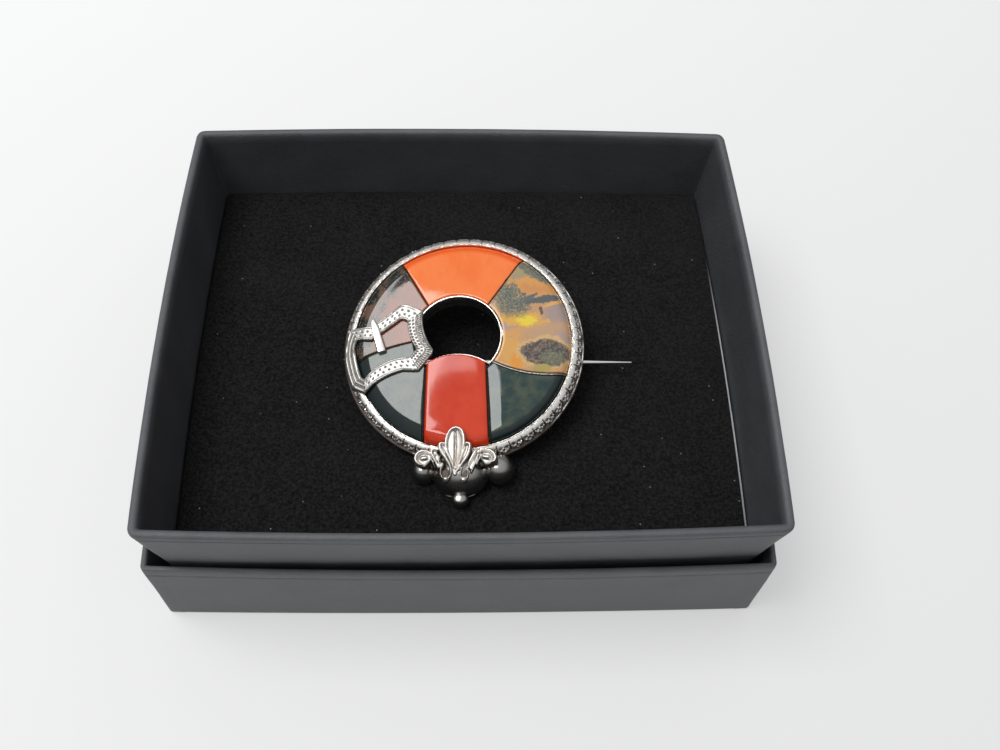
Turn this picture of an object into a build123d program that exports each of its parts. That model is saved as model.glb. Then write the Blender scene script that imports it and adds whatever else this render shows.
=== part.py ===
from build123d import *
import math
import os

# An agate strap-and-buckle brooch that lies in its card gift box, in millimetres.
# The origin is the middle of the box's underside, on the table. +Z is up and +Y points
# to the back of the box. The brooch is drawn flat in a frame of its own, with the middle
# of its back at the zero point, and is then laid tilted on the pad.

# Card box: an open tray that stands in its own upturned lid
tray_width = 90.0
tray_depth = 74.0
tray_height = 29.5
tray_wall = 1.3
tray_lean = 0.12
side_bow = 0.9
foot_bow_share = 0.5
corner_radius = 1.3
inner_corner = 0.35
rim_round = 0.45
lid_wall = 0.9
lid_height = 18.1
lid_corner = 0.8
lid_fit = 0.05
card_gap = 0.1
tray_shift_x = 0.2
tray_shift_y = -0.9
tray_turn = 0.3

# Flocked foam pad in the tray
pad_depth = 16.9
pad_fit = 0.25
pad_round = 0.5
pad_corner = 0.8

# How the brooch lies on the pad: its top edge and its right side are raised
brooch_x = 0.2
brooch_y = -3.45
top_raised = 11.5
right_raised = 5.3
rest_gap = 0.1

# Silver frame: back plate, sloping engraved border, collar round the centre hole
ring_radius = 18.8
plate = 0.6
border_foot = 0.45
border_top = 2.25
border_width = 1.75
border_lip = 0.2
hole_x = -0.65
hole_y = 0.8
hole_radius = 6.55
collar_wall = 0.3
collar_top = 3.2
seam_wall = 0.22
seam_sink = 0.05

# Stones: domed slabs with a rolled outer edge, let in side by side
stone_gap = 0.1
joint_gap = 0.16
stone_edge = 2.0
stone_roll = 1.6
shoulder = 3.1
crown = 3.4
roll_bulge = 0.28
first_stone_angle = -80.0
smallest_stone = 1.0

# Strap of red jasper, a little prouder than its neighbours and convex across
strap_x = -0.9
strap_top_width = 9.6
strap_foot_width = 10.6
strap_arch_y = -2.1
strap_arch_rise = 1.5
strap_proud = 0.45
strap_camber = 0.75

# Buckle: a flat silver frame that bends down over the border on the left
buckle_thick = 0.62
tongue_top_x = 5.25
tongue_top_y = 3.25
tongue_foot_x = 6.5
tongue_foot_y = -1.6
tongue_top_width = 1.1
tongue_foot_width = 1.45
tongue_thick = 0.85
tongue_shoulder = 0.55
tongue_flat = 0.5
tongue_sink = 0.15

# Strap end: cast leaf with two scrolls over three polished domes and a ball
leaf_thick = 0.8
scroll_wire = 0.42
scroll_stem = 1.2
bead_seat = 0.48
dome_flange = 0.1
end_plate = 0.5
ball_x = 0.35
ball_y = -5.85
ball_radius = 1.2
tip_y = -6.7
tip_radius = 1.5

# Pin on the back, with its hinge block, and the hook that holds it
pin_y = -1.25
pin_drop = 1.6
pin_wire = 0.8
pin_point = 0.12
pin_tip_x = 26.4
pin_taper = 9.0
hinge_x = -13.2
hinge_length = 4.2
hinge_width = 2.6
hinge_round = 0.9
catch_x = 14.2
catch_width = 2.2
catch_wire = 0.8
catch_run = 0.25

# Joints between the stones: (angle of the inner end round the hole, angle of the outer end
# round the ring, bulge to the left on the way out), by name
JOINTS = {
    "upper_left": (132.0, 124.5, 0),
    "upper_right": (46.9, 55.2, 0),
    "lower_right": (-40.0, -16.6, -1.3),
    "lower_left": (186.1, 192.2, -0.6),
}

# Names of the five fan-shaped stones, anticlockwise from the lower right
FAN_STONES = (
    "stone_bloodstone_right",
    "stone_moss_agate",
    "stone_carnelian",
    "stone_grey_agate",
    "stone_bloodstone_left",
)

# Buckle seen from the front, clockwise, from the ring's left end: (x, y, bulge of the edge to
# the next row), where a positive bulge swells to the left on the way
BUCKLE_OUTSIDE = [
    (1.0, 2.95, 0),
    (4.8, 2.75, -0.05),
    (9.1, 5.9, 0.15),
    (10.5, 6.1, 0),
    (12.8, 4.85, -0.6),
    (14.35, -1.1, 0.1),
    (14.1, -2.2, 0),
    (12.2, -5.0, 0.05),
    (9.8, -4.85, -0.5),
    (3.85, -8.2, 0),
    (1.35, -7.1, 1.15),
]
BUCKLE_OPENING = [
    (2.3, 0.9, 0),
    (4.5, 0.55, -0.05),
    (9.1, 3.5, 0.1),
    (10.3, 3.2, -0.35),
    (11.85, -1.4, 0),
    (10.8, -2.7, -0.9),
    (3.8, -5.7, 0),
    (3.3, -5.5, 0.75),
]

# The strap end is drawn from where the strap's middle meets the ring's lower end.
# Polished domes of the strap end: (middle x, middle y, half width, half length, height)
DOMES = [
    (-5.1, -1.0, 1.9, 1.9, 2.5),
    (6.5, -0.8, 2.15, 2.15, 2.7),
    (0.5, -1.6, 4.3, 3.5, 4.2),
]

# Leaf outline, left side from the tip down, then the right side back up: (x, y)
LEAF = [
    (0.15, 4.5), (-0.55, 4.2), (-1.1, 3.4), (-1.3, 2.3), (-2.2, 2.2),
    (-2.6, 1.4), (-3.3, 1.3), (-3.7, 0.5), (-3.0, -0.8), (-2.4, -2.6),
    (-1.2, -3.5), (0.1, -2.6), (1.5, -3.6), (2.6, -2.6), (3.2, -0.8),
    (3.8, 0.7), (3.2, 1.4), (2.6, 1.4), (2.1, 2.3), (1.6, 2.3),
    (1.4, 3.4), (0.9, 4.1),
]

# Raised veins and beads of the leaf: (start x, start y, end x, end y, radius)
VEINS = [
    (0.15, 3.7, 0.15, -2.2, 0.34),
    (-1.9, 1.7, -0.6, -2.0, 0.36),
    (2.2, 1.7, 0.9, -2.0, 0.36),
    (-3.1, 0.7, -2.0, -2.4, 0.36),
    (3.3, 0.8, 2.3, -2.4, 0.36),
]
BEADS = [(-1.2, -3.3, 0.55), (1.45, -3.4, 0.58)]

# Scrolls: (middle x, middle y, outer radius, ball radius)
SCROLLS = [(-4.65, -0.4, 1.45, 0.62), (4.85, -0.4, 1.45, 0.62)]

# Sizes that follow from the ones above
lid_width = tray_width + 2 * (lid_fit + lid_wall)
lid_depth = tray_depth + 2 * (lid_fit + lid_wall)
tray_floor_z = lid_wall + card_gap
pad_floor_z = tray_floor_z + tray_wall + card_gap
pad_top_z = tray_floor_z + pad_depth + card_gap
rim_inner_radius = ring_radius - border_width
stone_radius = rim_inner_radius - border_lip
stone_base = plate + stone_gap
strap_crown = crown + strap_proud
leaf_base = strap_crown + stone_gap
tall = 3 * strap_crown
lean_x = math.cos(math.radians(top_raised)) * math.sin(math.radians(right_raised))
lean_y = math.sin(math.radians(top_raised))
lean_z = math.cos(math.radians(top_raised)) * math.cos(math.radians(right_raised))
tip_reach = lean_x * (strap_x + ball_x) + lean_y * (tip_y + tip_radius - ring_radius)
tip_drop = tip_radius * math.hypot(lean_x, lean_y) - tip_reach
brooch_z = pad_top_z + rest_gap + tip_drop
hinge_drop = lean_x * (hinge_x - hinge_length / 2) + lean_y * (pin_y - hinge_width / 2)
hinge_depth = (tip_drop + hinge_drop) / lean_z
pin_slope = math.tan(math.radians(right_raised))


def bowed_outline(width, depth, bow, z, corner):
    """A rectangle with rounded corners whose four sides swell outwards by bow."""
    w = width / 2
    d = depth / 2
    k = corner * (1 - math.sqrt(0.5))
    sides = [
        ThreePointArc((-w + corner, -d, z), (0, -d - bow, z), (w - corner, -d, z)),
        ThreePointArc((w - corner, -d, z), (w - k, -d + k, z), (w, -d + corner, z)),
        ThreePointArc((w, -d + corner, z), (w + bow, 0, z), (w, d - corner, z)),
        ThreePointArc((w, d - corner, z), (w - k, d - k, z), (w - corner, d, z)),
        ThreePointArc((w - corner, d, z), (0, d + bow, z), (-w + corner, d, z)),
        ThreePointArc((-w + corner, d, z), (-w + k, d - k, z), (-w, d - corner, z)),
        ThreePointArc((-w, d - corner, z), (-w - bow, 0, z), (-w, -d + corner, z)),
        ThreePointArc((-w, -d + corner, z), (-w + k, -d + k, z), (-w + corner, -d, z)),
    ]
    return make_face(Wire(sides))


def leaning_block(corner, rows):
    """A form that leans as the tray does, through rows of (inset from the tray's side, height)."""
    faces = []
    for inset, z in rows:
        drop = tray_floor_z + tray_height - z
        cut = 2 * (inset + tray_lean * drop)
        bow = side_bow * (1 - (1 - foot_bow_share) * drop / tray_height)
        faces.append(bowed_outline(tray_width - cut, tray_depth - cut, bow, z, corner))
    return loft(faces, ruled=True)


def rounded_top(inset, top, round_in, inward):
    """Rows that lead up to a rounded edge; inward is 1 for an outer side, -1 for an inner one."""
    part_way = round_in * (1 - math.sqrt(0.5))
    return [
        (inset, top - round_in),
        (inset + inward * part_way, top - part_way),
        (inset + inward * round_in, top),
    ]


def seated_tray(shape):
    """Moves a piece of the tray to where the tray stands in the lid."""
    return Pos(tray_shift_x, tray_shift_y, 0) * Rot(0, 0, tray_turn) * shape


def make_tray():
    """Open card tray with leaning sides and a rounded, paper-wrapped rim."""
    top = tray_floor_z + tray_height
    outer = [(0, tray_floor_z)] + rounded_top(0, top, rim_round, 1)
    inner = [(tray_wall, tray_floor_z + tray_wall)] + rounded_top(tray_wall, top, rim_round, -1)
    return seated_tray(leaning_block(corner_radius, outer) - leaning_block(inner_corner, inner))


def make_pad():
    """Foam pad that fills the tray up to the level the brooch lies on."""
    inset = tray_wall + pad_fit
    rows = [(inset, pad_floor_z)] + rounded_top(inset, pad_top_z, pad_round, 1)
    return seated_tray(leaning_block(pad_corner, rows))


def make_lid():
    """Straight-sided card lid, upturned, that the tray stands in."""
    outside = loft([
        bowed_outline(lid_width, lid_depth, side_bow * share, z, lid_corner)
        for share, z in ((foot_bow_share, 0), (1, lid_height))
    ])
    inside = loft([
        bowed_outline(lid_width - 2 * lid_wall, lid_depth - 2 * lid_wall, side_bow * share, z,
                      inner_corner)
        for share, z in ((foot_bow_share, lid_wall), (1, lid_height))
    ])
    return outside - inside


def turned(points):
    """A solid turned about the upright axis from (radius, height) points."""
    return revolve(make_face(Polyline(*[(r, 0, z) for r, z in points], close=True)), Axis.Z)


def slab(face, low, high):
    """A flat face drawn at height zero, raised to stand between two heights."""
    return extrude(Pos(0, 0, low) * face, high - low, dir=(0, 0, 1))


def stone_blank(rise, grow):
    """The whole ring of stones as one domed disc with a rolled edge.

    rise lifts its top, and grow moves the surface outwards for what lies over it.
    """
    edge = (stone_radius + grow, 0, stone_edge + rise + grow)
    bend = (stone_radius - stone_roll, 0, shoulder + rise + grow)
    middle = (0, 0, crown + rise + grow)
    chord = math.hypot(edge[0] - bend[0], edge[2] - bend[2])
    swell_x = (edge[0] + bend[0]) / 2 + roll_bulge * (bend[2] - edge[2]) / chord
    swell_z = (edge[2] + bend[2]) / 2 + roll_bulge * (edge[0] - bend[0]) / chord
    outline = Wire([
        Line((0, 0, stone_base), (edge[0], 0, stone_base)),
        Line((edge[0], 0, stone_base), edge),
        ThreePointArc(edge, (swell_x, 0, swell_z), bend),
        Line(bend, middle),
        Line(middle, (0, 0, stone_base)),
    ])
    return revolve(make_face(outline), Axis.Z)


def strap_face(grow):
    """Outline of the strap: an arched end over the hole, running out past the border."""
    top = strap_top_width / 2 + grow
    foot = strap_foot_width / 2 + grow
    arch = strap_arch_y + grow
    spring = arch - strap_arch_rise
    outline = Wire([
        ThreePointArc((strap_x + top, spring), (strap_x, arch), (strap_x - top, spring)),
        Line((strap_x - top, spring), (strap_x - foot, -ring_radius)),
        Line((strap_x - foot, -ring_radius), (strap_x + foot, -ring_radius)),
        Line((strap_x + foot, -ring_radius), (strap_x + top, spring)),
    ])
    return make_face(outline)


def hole_face(grow):
    """Outline of the centre hole: a circle that the strap's arched end reaches into."""
    return Pos(hole_x, hole_y) * Circle(hole_radius + grow) - strap_face(-grow)


def swollen_edge(start, end, bulge):
    """A line, or an arc that bulges to the left on the way from start to end."""
    if bulge == 0:
        return Line(start, end)
    dx = end[0] - start[0]
    dy = end[1] - start[1]
    share = bulge / math.hypot(dx, dy)
    middle = (start[0] + dx / 2 - share * dy, start[1] + dy / 2 + share * dx)
    return ThreePointArc(start, middle, end)


def joint_blade(name, width):
    """An upright blade along one joint between two stones."""
    inner_angle, outer_angle, bulge = JOINTS[name]
    inner = math.radians(inner_angle)
    outer = math.radians(outer_angle)
    start = (hole_x + hole_radius * math.cos(inner), hole_y + hole_radius * math.sin(inner))
    end = (ring_radius * math.cos(outer), ring_radius * math.sin(outer))
    path = swollen_edge(start, end, bulge)
    return slab(trace(path, width), 0, tall)


def angle_round(piece):
    """Angle of a stone's middle about the brooch's middle, from the strap's right side on."""
    angle = math.degrees(math.atan2(piece.center().Y, piece.center().X))
    return (angle - first_stone_angle) % 360


def make_fan_stones():
    """The five fan-shaped stones, cut from one blank by the hole, the strap and the joints."""
    ring = stone_blank(0, 0)
    ring -= slab(Pos(hole_x, hole_y) * Circle(hole_radius + collar_wall + stone_gap), 0, tall)
    ring -= slab(strap_face(0), 0, tall)
    for name in JOINTS:
        width = joint_gap + (seam_wall + stone_gap if name == "lower_right" else 0)
        ring -= joint_blade(name, width)
    stones = [piece for piece in ring.solids() if piece.volume > smallest_stone]
    return dict(zip(FAN_STONES, sorted(stones, key=angle_round)))


def make_strap_stone():
    """Jasper strap: convex across its width, rolled down where it meets the border."""
    half = strap_top_width / 2
    radius = (half ** 2 + strap_camber ** 2) / (2 * strap_camber)
    axis = Pos(strap_x, -ring_radius / 2, strap_crown - radius) * Rot(90, 0, 0)
    barrel = axis * Cylinder(radius, 2 * ring_radius)
    stone = slab(strap_face(-(collar_wall + stone_gap)), stone_base, tall)
    return (stone & barrel & stone_blank(strap_proud, 0)).solids().sort_by(SortBy.VOLUME)[-1]


def pin_height(x):
    """Height of the pin's middle line, which runs level with the pad."""
    return -pin_drop - pin_slope * (x - hinge_x)


def make_catch():
    """Hook under the plate that the pin lies in, open on the side the pin swings out."""
    z = pin_height(catch_x)
    inner = pin_wire / 2 + catch_run
    outer = inner + catch_wire
    loop = Circle(outer) - Circle(inner) - Pos(-outer, 0) * Rectangle(2 * outer, 2 * inner)
    upright = Plane(origin=(catch_x, pin_y, z), x_dir=(0, 1, 0), z_dir=(1, 0, 0))
    hook = extrude(upright * loop, catch_width / 2, both=True)
    post_height = plate - z - inner
    post = Pos(catch_x, pin_y, plate - post_height / 2) * Box(catch_width, catch_wire, post_height)
    return hook + post


def make_frame():
    """Silver frame: plate, border, collar, the seam between two stones, and the hook."""
    ring = turned([
        (0, 0),
        (ring_radius, 0),
        (ring_radius, border_foot),
        (rim_inner_radius, border_top),
        (rim_inner_radius - border_lip + stone_gap, border_top),
        (rim_inner_radius - border_lip + stone_gap, plate),
        (0, plate),
    ])
    ring -= slab(hole_face(0), -plate, tall)
    ring += slab(hole_face(collar_wall) - hole_face(0), 0, collar_top)
    seam = joint_blade("lower_right", seam_wall) & stone_blank(-seam_sink, 0)
    seam -= slab(Pos(hole_x, hole_y) * Circle(hole_radius + collar_wall / 2), 0, tall)
    seam -= slab(strap_face(0), 0, tall)
    foot = slab(Circle(stone_radius), plate / 2, stone_base + stone_gap)
    seam += joint_blade("lower_right", seam_wall) & foot
    seam -= slab(hole_face(0), -plate, tall)
    return ring + seam + make_catch()


def bulged_face(rows):
    """A flat face on the ring's left whose edges are lines or arcs."""
    points = [(x - ring_radius, y) for x, y, _ in rows]
    ends = points[1:] + points[:1]
    edges = [swollen_edge(start, end, row[2]) for start, end, row in zip(points, ends, rows)]
    return make_face(Wire(edges))


def make_buckle():
    """Buckle frame that lies on the stones and bends over the border, with its tongue."""
    band = slab(bulged_face(BUCKLE_OUTSIDE) - bulged_face(BUCKLE_OPENING), 0, tall)
    over = stone_blank(0, stone_gap + buckle_thick) + border_cover(stone_gap + buckle_thick)
    under = stone_blank(0, stone_gap) + border_cover(stone_gap)
    frame = ((band & over) - under).solids().sort_by(SortBy.VOLUME)[-1]
    return frame + make_tongue()


def border_cover(grow):
    """The border's sloping form, grown outwards by grow."""
    return turned([
        (0, border_foot + grow),
        (ring_radius + grow, border_foot + grow),
        (rim_inner_radius + grow, border_top + grow),
        (0, border_top + grow),
    ])


def stone_height(x, y):
    """Height of the stones' flat part at a place inside their rolled edge."""
    share = math.hypot(x, y) / (stone_radius - stone_roll)
    return crown + (shoulder - crown) * share


def make_tongue():
    """Faceted bar across the upper arm of the buckle, wider at its free end."""
    dx = tongue_foot_x - tongue_top_x
    dy = tongue_foot_y - tongue_top_y
    length = math.hypot(dx, dy)
    seat = stone_height(tongue_top_x - ring_radius, tongue_top_y) + stone_gap + buckle_thick
    sections = []
    for x, y, width in (
        (tongue_top_x, tongue_top_y, tongue_top_width),
        (tongue_foot_x, tongue_foot_y, tongue_foot_width),
    ):
        across = Plane(
            origin=(x - ring_radius, y, seat - tongue_sink),
            x_dir=(-dy / length, dx / length, 0),
            z_dir=(dx, dy, 0),
        )
        half = width / 2
        sections.append(make_face(across * Polyline(
            (-half, 0),
            (half, 0),
            (half, tongue_thick * tongue_shoulder),
            (half * tongue_flat, tongue_thick),
            (-half * tongue_flat, tongue_thick),
            (-half, tongue_thick * tongue_shoulder),
            close=True,
        )))
    return loft(sections)


def make_strap_end():
    """Cast strap end: plate, domes, ball, leaf with veins and beads, and two scrolls."""
    body = slab(Pos(ball_x, tip_y + tip_radius) * Circle(tip_radius), 0, end_plate)
    for x, y, half_x, half_y, height in DOMES:
        dome = scale(Sphere(1), (half_x, half_y, height))
        body += Pos(x, y, 0) * (dome & Pos(0, 0, tall / 2) * Box(tall, tall, tall))
        body += slab(Pos(x, y) * Ellipse(half_x + dome_flange, half_y + dome_flange), 0, end_plate)
    body += Pos(ball_x, ball_y, ball_radius + end_plate / 2) * Sphere(ball_radius)
    body += slab(make_face(Polyline(*LEAF, close=True)), leaf_base, leaf_base + leaf_thick)
    for x0, y0, x1, y1, radius in VEINS:
        start = Vector(x0, y0, leaf_base + leaf_thick)
        end = Vector(x1, y1, leaf_base + leaf_thick)
        rod = Plane(origin=start, z_dir=end - start) * Cylinder(
            radius, (end - start).length, align=(Align.CENTER, Align.CENTER, Align.MIN))
        body += rod + Pos(start) * Sphere(radius) + Pos(end) * Sphere(radius)
    for x, y, radius in BEADS:
        body += Pos(x, y, leaf_base + bead_seat) * Sphere(radius)
    for x, y, radius, ball in SCROLLS:
        body += Pos(x, y, leaf_base) * Torus(radius - scroll_wire, scroll_wire)
        body += Pos(x, y, leaf_base) * Sphere(ball)
        body += slab(Pos(x, y) * Circle(radius - scroll_wire), leaf_base - scroll_stem, leaf_base)
    under = stone_blank(0, stone_gap) + border_cover(stone_gap)
    under += slab(Circle(ring_radius + stone_gap), -plate, border_foot + stone_gap)
    strap = slab(strap_face(stone_gap), 0, strap_crown + stone_gap / 2)
    under += strap & slab(Circle(stone_radius + stone_gap), 0, tall)
    body = (Pos(strap_x, -ring_radius, 0) * body) - under
    return body.solids().sort_by(SortBy.VOLUME)[-1]


def make_pin():
    """Straight pin that tapers to a point past the border, on a plain hinge block."""
    start = Vector(hinge_x, pin_y, pin_height(hinge_x))
    along = (Vector(pin_tip_x, pin_y, pin_height(pin_tip_x)) - start).normalized()
    length = (pin_tip_x - hinge_x) * math.sqrt(1 + pin_slope ** 2)
    upright = (Align.CENTER, Align.CENTER, Align.MIN)
    wire = Plane(origin=start, z_dir=along) * Cylinder(pin_wire / 2, length - pin_taper, align=upright)
    neck = Plane(origin=start + along * (length - pin_taper), z_dir=along)
    point = neck * Cone(pin_wire / 2, pin_point, pin_taper, align=upright)
    block_height = hinge_depth - stone_gap
    block = Box(hinge_length, hinge_width, block_height)
    block = Pos(hinge_x, pin_y, -stone_gap - block_height / 2) * block
    block = fillet(block.edges().filter_by(Axis.Y).group_by(Axis.Z)[0], hinge_round)
    return block + wire + point


os.makedirs("parts", exist_ok=True)
laid = Location((brooch_x, brooch_y, brooch_z), (top_raised, -right_raised, 0))

pieces = {"silver_frame": make_frame()}
pieces.update(make_fan_stones())
pieces["stone_jasper_strap"] = make_strap_stone()
pieces["buckle"] = make_buckle()
pieces["strap_end"] = make_strap_end()
pieces["pin"] = make_pin()
nodes = {name: laid * shape for name, shape in pieces.items()}
nodes["box_tray"] = make_tray()
nodes["box_pad"] = make_pad()
nodes["box_lid"] = make_lid()

for name, shape in nodes.items():
    export_step(shape, f"parts/{name}.step")
    print(name, len(shape.solids()), round(shape.volume, 2))
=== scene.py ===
import bpy
from math import atan2, cos, dist, hypot, pi, radians, sin, sqrt
from mathutils import Matrix, Vector, noise


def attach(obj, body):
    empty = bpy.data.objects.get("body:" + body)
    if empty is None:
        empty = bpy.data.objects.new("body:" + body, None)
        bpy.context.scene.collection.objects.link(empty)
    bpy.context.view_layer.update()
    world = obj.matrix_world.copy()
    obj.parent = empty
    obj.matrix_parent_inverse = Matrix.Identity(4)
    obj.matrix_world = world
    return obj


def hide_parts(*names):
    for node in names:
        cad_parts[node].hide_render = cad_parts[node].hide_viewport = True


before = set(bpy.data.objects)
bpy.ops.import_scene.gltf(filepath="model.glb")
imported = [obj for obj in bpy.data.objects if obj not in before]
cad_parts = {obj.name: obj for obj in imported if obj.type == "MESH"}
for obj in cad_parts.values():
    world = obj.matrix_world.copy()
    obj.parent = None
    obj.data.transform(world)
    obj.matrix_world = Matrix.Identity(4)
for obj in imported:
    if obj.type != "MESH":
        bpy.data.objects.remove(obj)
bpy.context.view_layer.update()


# Silver border: a cast ring soldered to the back plate, that holds the stones in. Its band
# slopes down and is chased with lozenges and beads, parted by cuts, between a thin inner lip
# and a foot wire. Handling keeps the high parts bright, and tarnish stays in the cuts.

MM = 0.001

# The brooch is drawn flat, in millimetres, and then laid on the pad: its top edge and its
# right side are raised
laid_place = Vector((0.2, -3.45, 23.263)) * MM
laid = (
    Matrix.Translation(laid_place)
    @ Matrix.Rotation(radians(11.5), 4, "X")
    @ Matrix.Rotation(radians(-5.3), 4, "Y")
)

ring_radius = 18.8
lip_radius = 16.95
cell_count = 54
cell_columns = 22
band_foot = (18.5, 0.6)
band_bend = (18.28, 1.9)
band_top = (17.24, 2.1)
band_rows = 16


def start():
    """Leaves edit mode and deselects everything."""
    if bpy.context.mode != "OBJECT":
        bpy.ops.object.mode_set(mode="OBJECT")
    bpy.ops.object.select_all(action="DESELECT")


def current(name):
    """Names the piece that was just added, and its mesh."""
    piece = bpy.context.active_object
    piece.name = name
    piece.data.name = name
    return piece


def only(piece):
    """Makes one piece the selected and active one."""
    start()
    piece.select_set(True)
    bpy.context.view_layer.objects.active = piece


def edit(piece):
    """Opens one piece in edit mode, with all of it selected."""
    only(piece)
    bpy.ops.object.mode_set(mode="EDIT")
    bpy.ops.mesh.select_all(action="SELECT")


def face_outwards():
    """Turns all faces of the piece in edit mode outwards, and leaves edit mode."""
    bpy.ops.mesh.select_all(action="SELECT")
    bpy.ops.mesh.normals_make_consistent(inside=False)
    bpy.ops.object.mode_set(mode="OBJECT")


def lofted(name, rows, round_rows=True, closed_rows=False):
    """A grid whose rows are drawn to the given rows of points, in millimetres.

    round_rows joins each row's end to its start. The first and the last row are filled with a
    face, unless closed_rows says that they meet or stay open.
    """
    start()
    wide = len(rows[0]) + (1 if round_rows else 0)
    bpy.ops.mesh.primitive_grid_add(x_subdivisions=wide - 1, y_subdivisions=len(rows) - 1)
    piece = current(name)
    for number, vertex in enumerate(piece.data.vertices):
        row = rows[number // wide]
        vertex.co = Vector(row[number % wide % len(row)]) * MM
    edit(piece)
    bpy.ops.mesh.remove_doubles(threshold=1e-7)
    if not closed_rows:
        bpy.ops.mesh.select_all(action="DESELECT")
        bpy.ops.mesh.select_non_manifold(use_wire=False, use_multi_face=False, use_non_contiguous=False)
        bpy.ops.mesh.edge_face_add()
    face_outwards()
    return piece


def smooth(piece, degrees):
    """Smooth shading, with edges sharper than the angle kept crisp."""
    only(piece)
    bpy.ops.object.shade_smooth_by_angle(angle=radians(degrees))


def lay(piece):
    """Lays a piece of the brooch, drawn flat, in its place on the pad."""
    only(piece)
    piece.matrix_world = laid
    bpy.ops.object.transform_apply(location=True, rotation=True, scale=True)


def between(a, b, share):
    """A value or point part of the way from a to b."""
    if isinstance(a, (int, float)):
        return a + (b - a) * share
    return tuple(between(p, q, share) for p, q in zip(a, b))


def step(low, high, value):
    """Rises smoothly from 0 at low to 1 at high."""
    share = min(1, max(0, (value - low) / (high - low)))
    return share * share * (3 - 2 * share)


def dent(distance, radius):
    """A round hollow: 1 at its middle and 0 from its radius outwards."""
    return max(0, 1 - (distance / radius) ** 2)


def mark_hollows(piece, depth, rounds=1, stain_and_shade=None):
    """Stores how hollow the surface is at each point, for tarnish, as an attribute.

    Each round compares a point with others one edge further away. stain_and_shade gives the least
    tarnish at a place, as a function of x, y and z in millimetres; on the leaf that is real
    tarnish, and on the border's foot painted shade.
    """
    mesh = piece.data
    edges = [tuple(edge.vertices) for edge in mesh.edges]
    counts = [0] * len(mesh.vertices)
    for a, b in edges:
        counts[a] += 1
        counts[b] += 1
    places = [vertex.co.copy() for vertex in mesh.vertices]
    for _ in range(rounds):
        sums = [Vector() for _ in places]
        for a, b in edges:
            sums[a] += places[b]
            sums[b] += places[a]
        places = [total / max(1, count) for total, count in zip(sums, counts)]
    hollow = [
        (place - vertex.co).dot(vertex.normal) / (depth * MM)
        for place, vertex in zip(places, mesh.vertices)
    ]
    for _ in range(2):
        around = [0.0] * len(hollow)
        for a, b in edges:
            around[a] += hollow[b]
            around[b] += hollow[a]
        hollow = [(h + total / max(1, count)) / 2 for h, total, count in zip(hollow, around, counts)]
    if stain_and_shade:
        hollow = [max(h, stain_and_shade(*(vertex.co / MM))) for h, vertex in zip(hollow, mesh.vertices)]
    attribute = mesh.attributes.new("hollow", "FLOAT", "POINT")
    attribute.data.foreach_set("value", [min(1.0, max(-1.0, h)) for h in hollow])


class Wire:
    """A node's socket, wrapped so that sums on sockets add the Math nodes for them."""

    def __init__(self, tree, socket):
        self.tree = tree
        self.socket = socket

    def node(self, kind, settings, sockets, output=0):
        """Adds a node: its settings first, then its sockets' values or links."""
        node = self.tree.nodes.new("ShaderNode" + kind)
        for name, value in settings.items():
            setattr(node, name, value)
        for name, value in sockets.items():
            if isinstance(value, Wire):
                self.tree.links.new(value.socket, node.inputs[name])
            elif node.inputs[name].type == "RGBA":
                node.inputs[name].default_value = (*value, 1)
            else:
                node.inputs[name].default_value = value
        return Wire(self.tree, node.outputs[output])

    def maths(self, operation, a, b):
        """One step of arithmetic on two values."""
        return self.node("Math", {"operation": operation}, {0: a, 1: b})

    def __add__(self, other):
        return self.maths("ADD", self, other)

    def __sub__(self, other):
        return self.maths("SUBTRACT", self, other)

    def __rsub__(self, other):
        return self.maths("SUBTRACT", other, self)

    def __mul__(self, other):
        return self.maths("MULTIPLY", self, other)

    __radd__ = __add__
    __rmul__ = __mul__

    def rise(self, low, high):
        """0 below low, 1 above high, and smooth between them."""
        settings = {"interpolation_type": "SMOOTHSTEP"}
        return self.node("MapRange", settings, {"Value": self, "From Min": low, "From Max": high})

    def colour(self, a, b):
        """Colour a where this value is 0, and b where it is 1."""
        return self.node("Mix", {"data_type": "RGBA"}, {0: self, 6: a, 7: b}, 2)

    def noise(self, scale, detail=3.0, roughness=0.5, distortion=0.0):
        """Cloudy noise on this place, around 0.5."""
        sockets = {
            "Vector": self,
            "Scale": scale,
            "Detail": detail,
            "Roughness": roughness,
            "Distortion": distortion,
        }
        return self.node("TexNoise", {}, sockets)

    def cells(self, scale):
        """Distance to the nearest of many scattered points."""
        return self.node("TexVoronoi", {}, {"Vector": self, "Scale": scale})

    def part(self, axis):
        """One coordinate of this place."""
        return self.node("SeparateXYZ", {}, {0: self}, "XYZ".index(axis))

    def reach(self):
        """Distance of this place from its frame's middle."""
        return self.node("VectorMath", {"operation": "LENGTH"}, {0: self}, 1)

    def stored(self, name):
        """A value that is stored at each point of the piece."""
        return self.node("Attribute", {"attribute_name": name}, {}, 2)

    def shifted(self, place, turn=(0.0, 0.0, 0.0), scale=(1.0, 1.0, 1.0)):
        """This place seen from a frame at place, turned and scaled so."""
        sockets = {"Vector": self, "Location": place, "Rotation": turn, "Scale": scale}
        return self.node("Mapping", {"vector_type": "TEXTURE"}, sockets)

    def stretched(self, turn, scale):
        """This place turned about the upright and stretched."""
        return self.shifted((0.0, 0.0, 0.0), (0.0, 0.0, turn), scale)


def new_material(name, constants):
    """A material with constants on its shader's sockets, and a Wire of its coordinates."""
    material = bpy.data.materials.new(name)
    material.use_nodes = True
    shader = material.node_tree.nodes["Principled BSDF"]
    for socket, value in constants.items():
        shader.inputs[socket].default_value = value
    coordinates = material.node_tree.nodes.new("ShaderNodeTexCoord")
    return material, Wire(material.node_tree, coordinates.outputs["Object"])


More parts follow.
